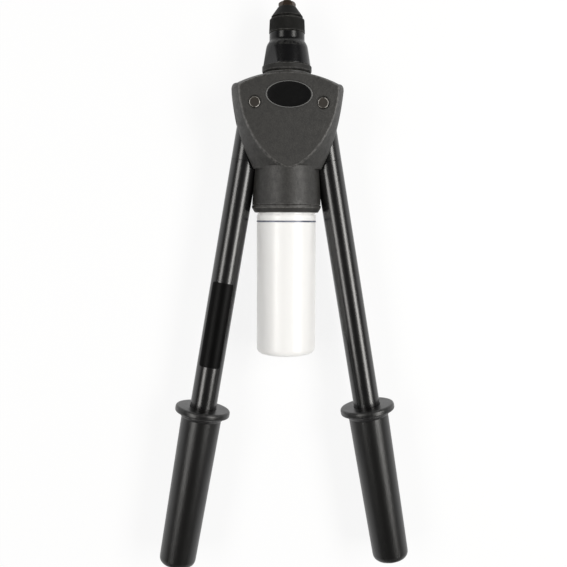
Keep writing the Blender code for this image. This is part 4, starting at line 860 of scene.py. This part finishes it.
GRIP_RUBBER = grip_rubber()
for word in SIDES:
    sleeve = [(0.0, -386.5, 0.0), (9.0, -386.4, -1.5), (15.2, -385.6, 4.6), (15.35, -374.0, -3.0),
              (16.7, -258.9, -0.4), (18.1, -257.9, 0.4), (18.7, -256.6, 0.5), (18.3, -255.5, -0.15),
              (22.8, -255.3, 1.6), (22.8, -249.9, 2.2), (12.3, -249.9, 0.3), (11.3, -249.9, 0.0),
              (11.3, -379.8, 0.0), (0.0, -379.8, 0.0)]
    on_lever(turned("grip", sleeve, 128), word, "moulded_grip", GRIP_RUBBER, "grip_rubber", "grip")

# Nose barrel and lock ring
# A turned and blackened steel barrel, tapered and polished, with two spanner flats. Its flange
# sits in the housing and a plain ring nut clamps it against the collar.

POLISHED_BLACK = turned_steel("polished black steel", (0.0045, 0.0045, 0.005), (0.009, 0.009, 0.0095),
                              (0.2, 0.3), 0.0, (0.05, 0.05, 0.048), 0.6, 0.28)
MATTE_BLACK = turned_steel("matte black steel", (0.011, 0.0106, 0.01), (0.026, 0.0252, 0.0238), (0.5, 0.66),
                           0.0, (0.09, 0.088, 0.084), 0.6, 0.25)
FLATS_TURN = -58.0
barrel_walls = [(15.0, 12.0, 0.0), (15.0, 16.4, 0.0), (17.2, 16.4, 0.3), (17.2, 20.0, 0.3),
                (15.0, 20.0, 0.0), (15.0, 32.2, 0.0), (19.1, 32.2, 0.5), (16.4, 48.7, 2.4),
                (14.1, 51.6, -1.2), (14.1, 57.6, 0.3), (11.5, 57.6, 0.0), (11.5, 12.0, 0.0)]
barrel = turned("barrel", barrel_walls, 160, closed=True)
for turn in (FLATS_TURN, FLATS_TURN + 180.0):
    flat = block("flat", (-FAR, 31.9, 16.2), (FAR, 52.5, FAR))
    flat.data.transform(Matrix.Rotation(math.radians(turn), 4, "Y"))
    combine(barrel, flat, "DIFFERENCE")
settle(barrel, "tapered_barrel", "housing", POLISHED_BLACK, "black_steel", "nose_barrel")
lock_ring = [(15.3, 26.7, 0.0), (18.9, 26.7, 0.3), (19.9, 27.7, 0.5), (19.9, 31.9, 0.5), (15.3, 31.9, 0.0)]
settle(turned("ring", lock_ring, 128, closed=True), "turned_lock_ring", "housing", MATTE_BLACK,
       "matte_steel", "barrel_lock_ring")

# Nose cap and nosepiece
# A screwed cap with a finely knurled band and a matte cone, and a browned hexagon nosepiece
# whose bore takes the rivet's mandrel.


def with_rows(profile, wear_and_highlight_mark, low, outside, extra):
    """Profile with unmarked rows put in before its first point above low and wider than outside."""
    edge = np.argmax((profile[:, 1] > low) & (profile[:, 0] > outside))
    return np.insert(profile, edge, extra, axis=0), np.insert(wear_and_highlight_mark, edge, np.zeros(len(extra)))


def knurled_cap():
    """Turned cap whose band has straight ridges: radius less the ridge's height times a raised cosine."""
    corners = [(11.5, 57.9, 0.0), (14.4, 57.9, 0.7), (13.95, 68.7, 0.7), (11.7, 68.9, 0.0), (11.7, 70.3, 0.0),
               (12.8, 70.7, 0.5), (7.1, 78.6, 0.5), (4.9, 78.6, 0.0), (4.9, 64.9, 0.0), (11.5, 64.9, 0.0)]
    low, high, ridges, ridge_height, around, outside = 59.2, 67.6, 96, 0.16, 768, 13.0
    profile, wear_and_highlight_mark = eased(corners, True)
    extra = np.linspace(low, high, 12)
    slope = corners[1][0] - (extra - corners[1][1]) * 0.45 / 10.8
    profile, wear_and_highlight_mark = with_rows(profile, wear_and_highlight_mark, low, outside, np.column_stack([slope, extra]))
    inside = (profile[:, 1] > low + 0.2) & (profile[:, 1] < high - 0.2) & (profile[:, 0] > outside)
    ridge = ridge_height * (0.5 - 0.5 * np.cos(ridges * angles(around)))
    radius = profile[:, 0][:, None] - inside[:, None] * ridge[None, :]
    return round_skin("cap", radius, profile, wear_and_highlight_mark, True)


CAP_BLACK = turned_steel("knurled black steel", (0.0035, 0.0035, 0.003), (0.01, 0.0098, 0.0086), (0.5, 0.62),
                         0.0, (0.08, 0.078, 0.074), 0.6, 0.16)
BROWNED = turned_steel("browned nosepiece steel", (0.045, 0.032, 0.024), (0.09, 0.064, 0.047), (0.28, 0.42),
                       0.7, (0.34, 0.3, 0.26), 0.8)
settle(knurled_cap(), "knurled_nose_cap", "housing", CAP_BLACK, "matte_steel", "nose_cap")
nosepiece = [(1.7, 60.95, 0.0), (2.5, 60.95, 0.0), (4.6, 62.95, 0.0), (4.6, 78.9, 0.0), (6.3, 78.9, 0.0),
             (7.1, 79.5, 0.0), (7.1, 81.5, 0.0), (6.2, 82.1, 0.0), (5.0, 82.1, 0.0), (3.1, 83.7, -0.3),
             (2.5, 87.2, 0.25), (1.7, 87.2, 0.15)]
settle(six_sided("nosepiece", nosepiece, 12.0), "hexagon_nosepiece", "housing", BROWNED,
       "bronzed_steel", "nosepiece")

# Neck ring
# A cast ring nut that screws over both neck halves and keeps them closed, coated as the housing is.

neck_ring = [(26.2, -78.8, 0.0), (28.2, -78.8, 0.35), (28.2, -80.7, 0.5), (25.9, -84.6, 0.5),
             (24.8, -84.6, 0.2), (24.8, -83.7, 0.0), (26.2, -83.7, 0.0)]
settle(turned("ring", neck_ring, 160, closed=True), "cast_neck_ring", "housing", CAST_COAT,
       "cast_housing", "neck_ring")

# Catch bottle
# A blown bottle of milky polyethylene that screws into the neck and catches spent mandrels,
# with a narrow blue-grey band pressed in a groove under its rim.


def threaded_bottle():
    """Turned bottle whose neck has a screw thread: its radius grows where the helix is at its crest.

    The crest follows the phase height over pitch less angle over a full turn.
    """
    neck, neck_low, neck_high, pitch, thread = 23.3, -86.0, -66.5, 3.2, 0.3
    corners = [(0.0, -199.9, 0.0), (17.0, -200.0, 0.0), (18.4, -200.6, -0.6), (24.2, -200.6, 5.2),
               (24.2, -92.35, 0.1), (23.5, -92.35, 0.0), (23.5, -91.05, 0.0), (24.2, -91.05, 0.1),
               (24.2, -86.6, 0.4), (neck, -86.3, 0.0), (neck, -65.3, 0.5), (21.6, -65.3, 0.3),
               (21.6, -94.7, -0.4), (22.5, -96.7, -0.4), (22.5, -198.9, -4.0), (0.0, -198.9, 0.0)]
    profile, wear_and_highlight_mark = eased(corners)
    extra = np.column_stack([np.full(90, neck), np.linspace(neck_low, neck_high, 90)])
    profile, wear_and_highlight_mark = with_rows(profile, wear_and_highlight_mark, neck_low - 0.1, neck - 0.3, extra)
    height = profile[:, 1]
    on_neck = (height > neck_low - 0.05) & (height < neck_high + 0.1) & (np.abs(profile[:, 0] - neck) < 1e-6)
    phase = height[:, None] / pitch - angles(144)[None, :] / (2.0 * math.pi)
    crest = np.clip(np.cos(2.0 * math.pi * phase) * 2.0 - 0.6, 0.0, 1.0)
    fade = np.clip(np.minimum(height - neck_low, neck_high - height) / 0.8, 0.0, 1.0)
    radius = profile[:, 0][:, None] + (on_neck * fade)[:, None] * crest * thread
    return round_skin("bottle", radius, profile, wear_and_highlight_mark, False)


def milky_plastic():
    """Translucent white polyethylene with flow haze from blowing."""
    material, tree, shader, place = finish_start("milky polyethylene", (0.93, 0.925, 0.91), 0.3)
    stretch = node(tree, "ShaderNodeMapping", Scale=(1.0, 0.16, 1.0))
    feed(tree, stretch.inputs["Vector"], place)
    flow = noise(tree, stretch.outputs["Vector"], 38.0, 5.0, 0.6)
    feed(tree, shader["Base Color"], mixed(tree, flow, (0.945, 0.94, 0.93), (0.985, 0.98, 0.972)))
    feed(tree, shader["Roughness"], spread(tree, flow, 0.0, 1.0, 0.24, 0.4))
    for word, value in (("Transmission Weight", 0.04), ("Subsurface Weight", 0.25),
                        ("Subsurface Scale", 0.008), ("Subsurface Radius", (1.0, 0.95, 0.9))):
        feed(tree, shader[word], value)
    raise_grain(tree, shader, flow, 0.0003, 0.15)
    return material


def band_plastic():
    """Blue-grey sealing band, rubbed pale in places."""
    material, tree, shader, place = finish_start("blue-grey band", (0.16, 0.18, 0.24), 0.5)
    patch = spread(tree, noise(tree, place, 90.0, 4.0, 0.7), 0.4, 0.62)
    feed(tree, shader["Base Color"], mixed(tree, patch, (0.06, 0.07, 0.11), (0.24, 0.26, 0.33)))
    return material


settle(threaded_bottle(), "blown_bottle", "bottle", milky_plastic(), "bottle_plastic", "bottle")
band = [(23.55, -92.3, 0.0), (24.3, -92.3, 0.2), (24.3, -91.1, 0.2), (23.55, -91.1, 0.0)]
settle(turned("band", band, 160, closed=True), "pressed_band", "bottle", band_plastic(), "band_grey",
       "bottle_band")

# Camera, floor and light
# A soft-lit white table seen from straight above, as in a catalogue picture. Two long strip
# lights beside the camera draw pairs of lines down the handle tubes, and the sky is bright only
# near its horizon.

PHOTO_WIDTH, FOCAL_LENGTH = 567.0, 700.9
CAMERA_TURNS = {"Y": -0.0642, "X": -0.0908, "Z": 0.0036}
CAMERA_AT = (-39.17, -90.34, 576.38)
FLOOR_Z = -0.0005
FLOOR_REACH = 3.0
FLOOR_SHARE = 0.88
camera_data = bpy.data.cameras.new("catalogue camera")
camera_data.sensor_width = 36.0
camera_data.lens = FOCAL_LENGTH / PHOTO_WIDTH * camera_data.sensor_width
camera_data.clip_start = 0.01
camera = bpy.data.objects.new("catalogue camera", camera_data)
bpy.context.scene.collection.objects.link(camera)
spot = Vector(CAMERA_AT) * 0.001 + Vector((0.0, FULCRUM[1], FULCRUM[2]))
aim = Matrix.Translation(spot)
for axis, turn in CAMERA_TURNS.items():
    aim = aim @ Matrix.Rotation(turn, 4, axis)
camera.matrix_world = aim
bpy.context.scene.camera = camera


def white_table():
    """Floor that the camera sees as white, with a share of real shading to hold the shadow."""
    material = bpy.data.materials.new("white table")
    material.use_nodes = True
    tree = material.node_tree
    shader = tree.nodes["Principled BSDF"]
    for word, value in (("Base Color", (0.9, 0.9, 0.9)), ("Roughness", 0.9), ("Specular IOR Level", 0.0)):
        feed(tree, shader.inputs[word], value)
    glow = node(tree, "ShaderNodeEmission", Strength=1.0)
    rays = node(tree, "ShaderNodeLightPath").outputs
    seen = reckon(tree, "MAXIMUM", rays["Is Camera Ray"], rays["Is Glossy Ray"])
    seen = reckon(tree, "MAXIMUM", seen, rays["Is Transmission Ray"])
    blend = node(tree, "ShaderNodeMixShader")
    for socket, value in zip(blend.inputs, (reckon(tree, "MULTIPLY", seen, FLOOR_SHARE),
                                            shader.outputs["BSDF"], glow.outputs["Emission"])):
        feed(tree, socket, value)
    feed(tree, tree.nodes["Material Output"].inputs["Surface"], blend.outputs["Shader"])
    return material


floor_corners = [(x * FLOOR_REACH, y * FLOOR_REACH, FLOOR_Z) for x, y in ((-1, -1), (1, -1), (1, 1), (-1, 1))]
floor_mesh = bpy.data.meshes.new("table")
floor_mesh.from_pydata(floor_corners, [], [(0, 1, 2, 3)])
floor_mesh.materials.append(white_table())
floor = bpy.data.objects.new("table", floor_mesh)
bpy.context.scene.collection.objects.link(floor)
floor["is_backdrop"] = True


def strip_light(name, place, power):
    """Warm rectangular lamp at a place, facing the tool's middle, long side along the tool."""
    lamp = bpy.data.lights.new(name, "AREA")
    lamp.shape = "RECTANGLE"
    lamp.size = 0.4
    lamp.size_y = 1.15
    lamp.energy = power
    lamp.color = (1.0, 0.985, 0.955)
    made = bpy.data.objects.new(name, lamp)
    bpy.context.scene.collection.objects.link(made)
    back = (Vector(place) - Vector((0.0, 0.0, 0.03))).normalized()
    along = (Vector((0.0, 1.0, 0.0)) - back * back.y).normalized()
    across = along.cross(back)
    turn = Matrix((across, along, back)).transposed().to_4x4()
    made.matrix_world = Matrix.Translation(place) @ turn


strip_light("left strip", (-0.8, 0.04, 0.95), 9.5)
strip_light("right strip", (0.8, 0.04, 0.95), 14.5)
world = bpy.data.worlds.new("studio")
world.use_nodes = True
sky = world.node_tree
facing = node(sky, "ShaderNodeSeparateXYZ")
sky.links.new(node(sky, "ShaderNodeTexCoord").outputs["Generated"], facing.inputs[0])
level = node(sky, "ShaderNodeMapRange", interpolation_type="SMOOTHSTEP")
level.inputs["From Max"].default_value = 0.35
level.inputs["To Min"].default_value = 0.9
level.inputs["To Max"].default_value = 0.05
sky.links.new(facing.outputs["Z"], level.inputs["Value"])
sky.nodes["Background"].inputs["Color"].default_value = (1.0, 1.0, 1.0, 1.0)
sky.links.new(level.outputs["Result"], sky.nodes["Background"].inputs["Strength"])
bpy.context.scene.world = world
bpy.context.scene.view_settings.view_transform = "Standard"

low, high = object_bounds()
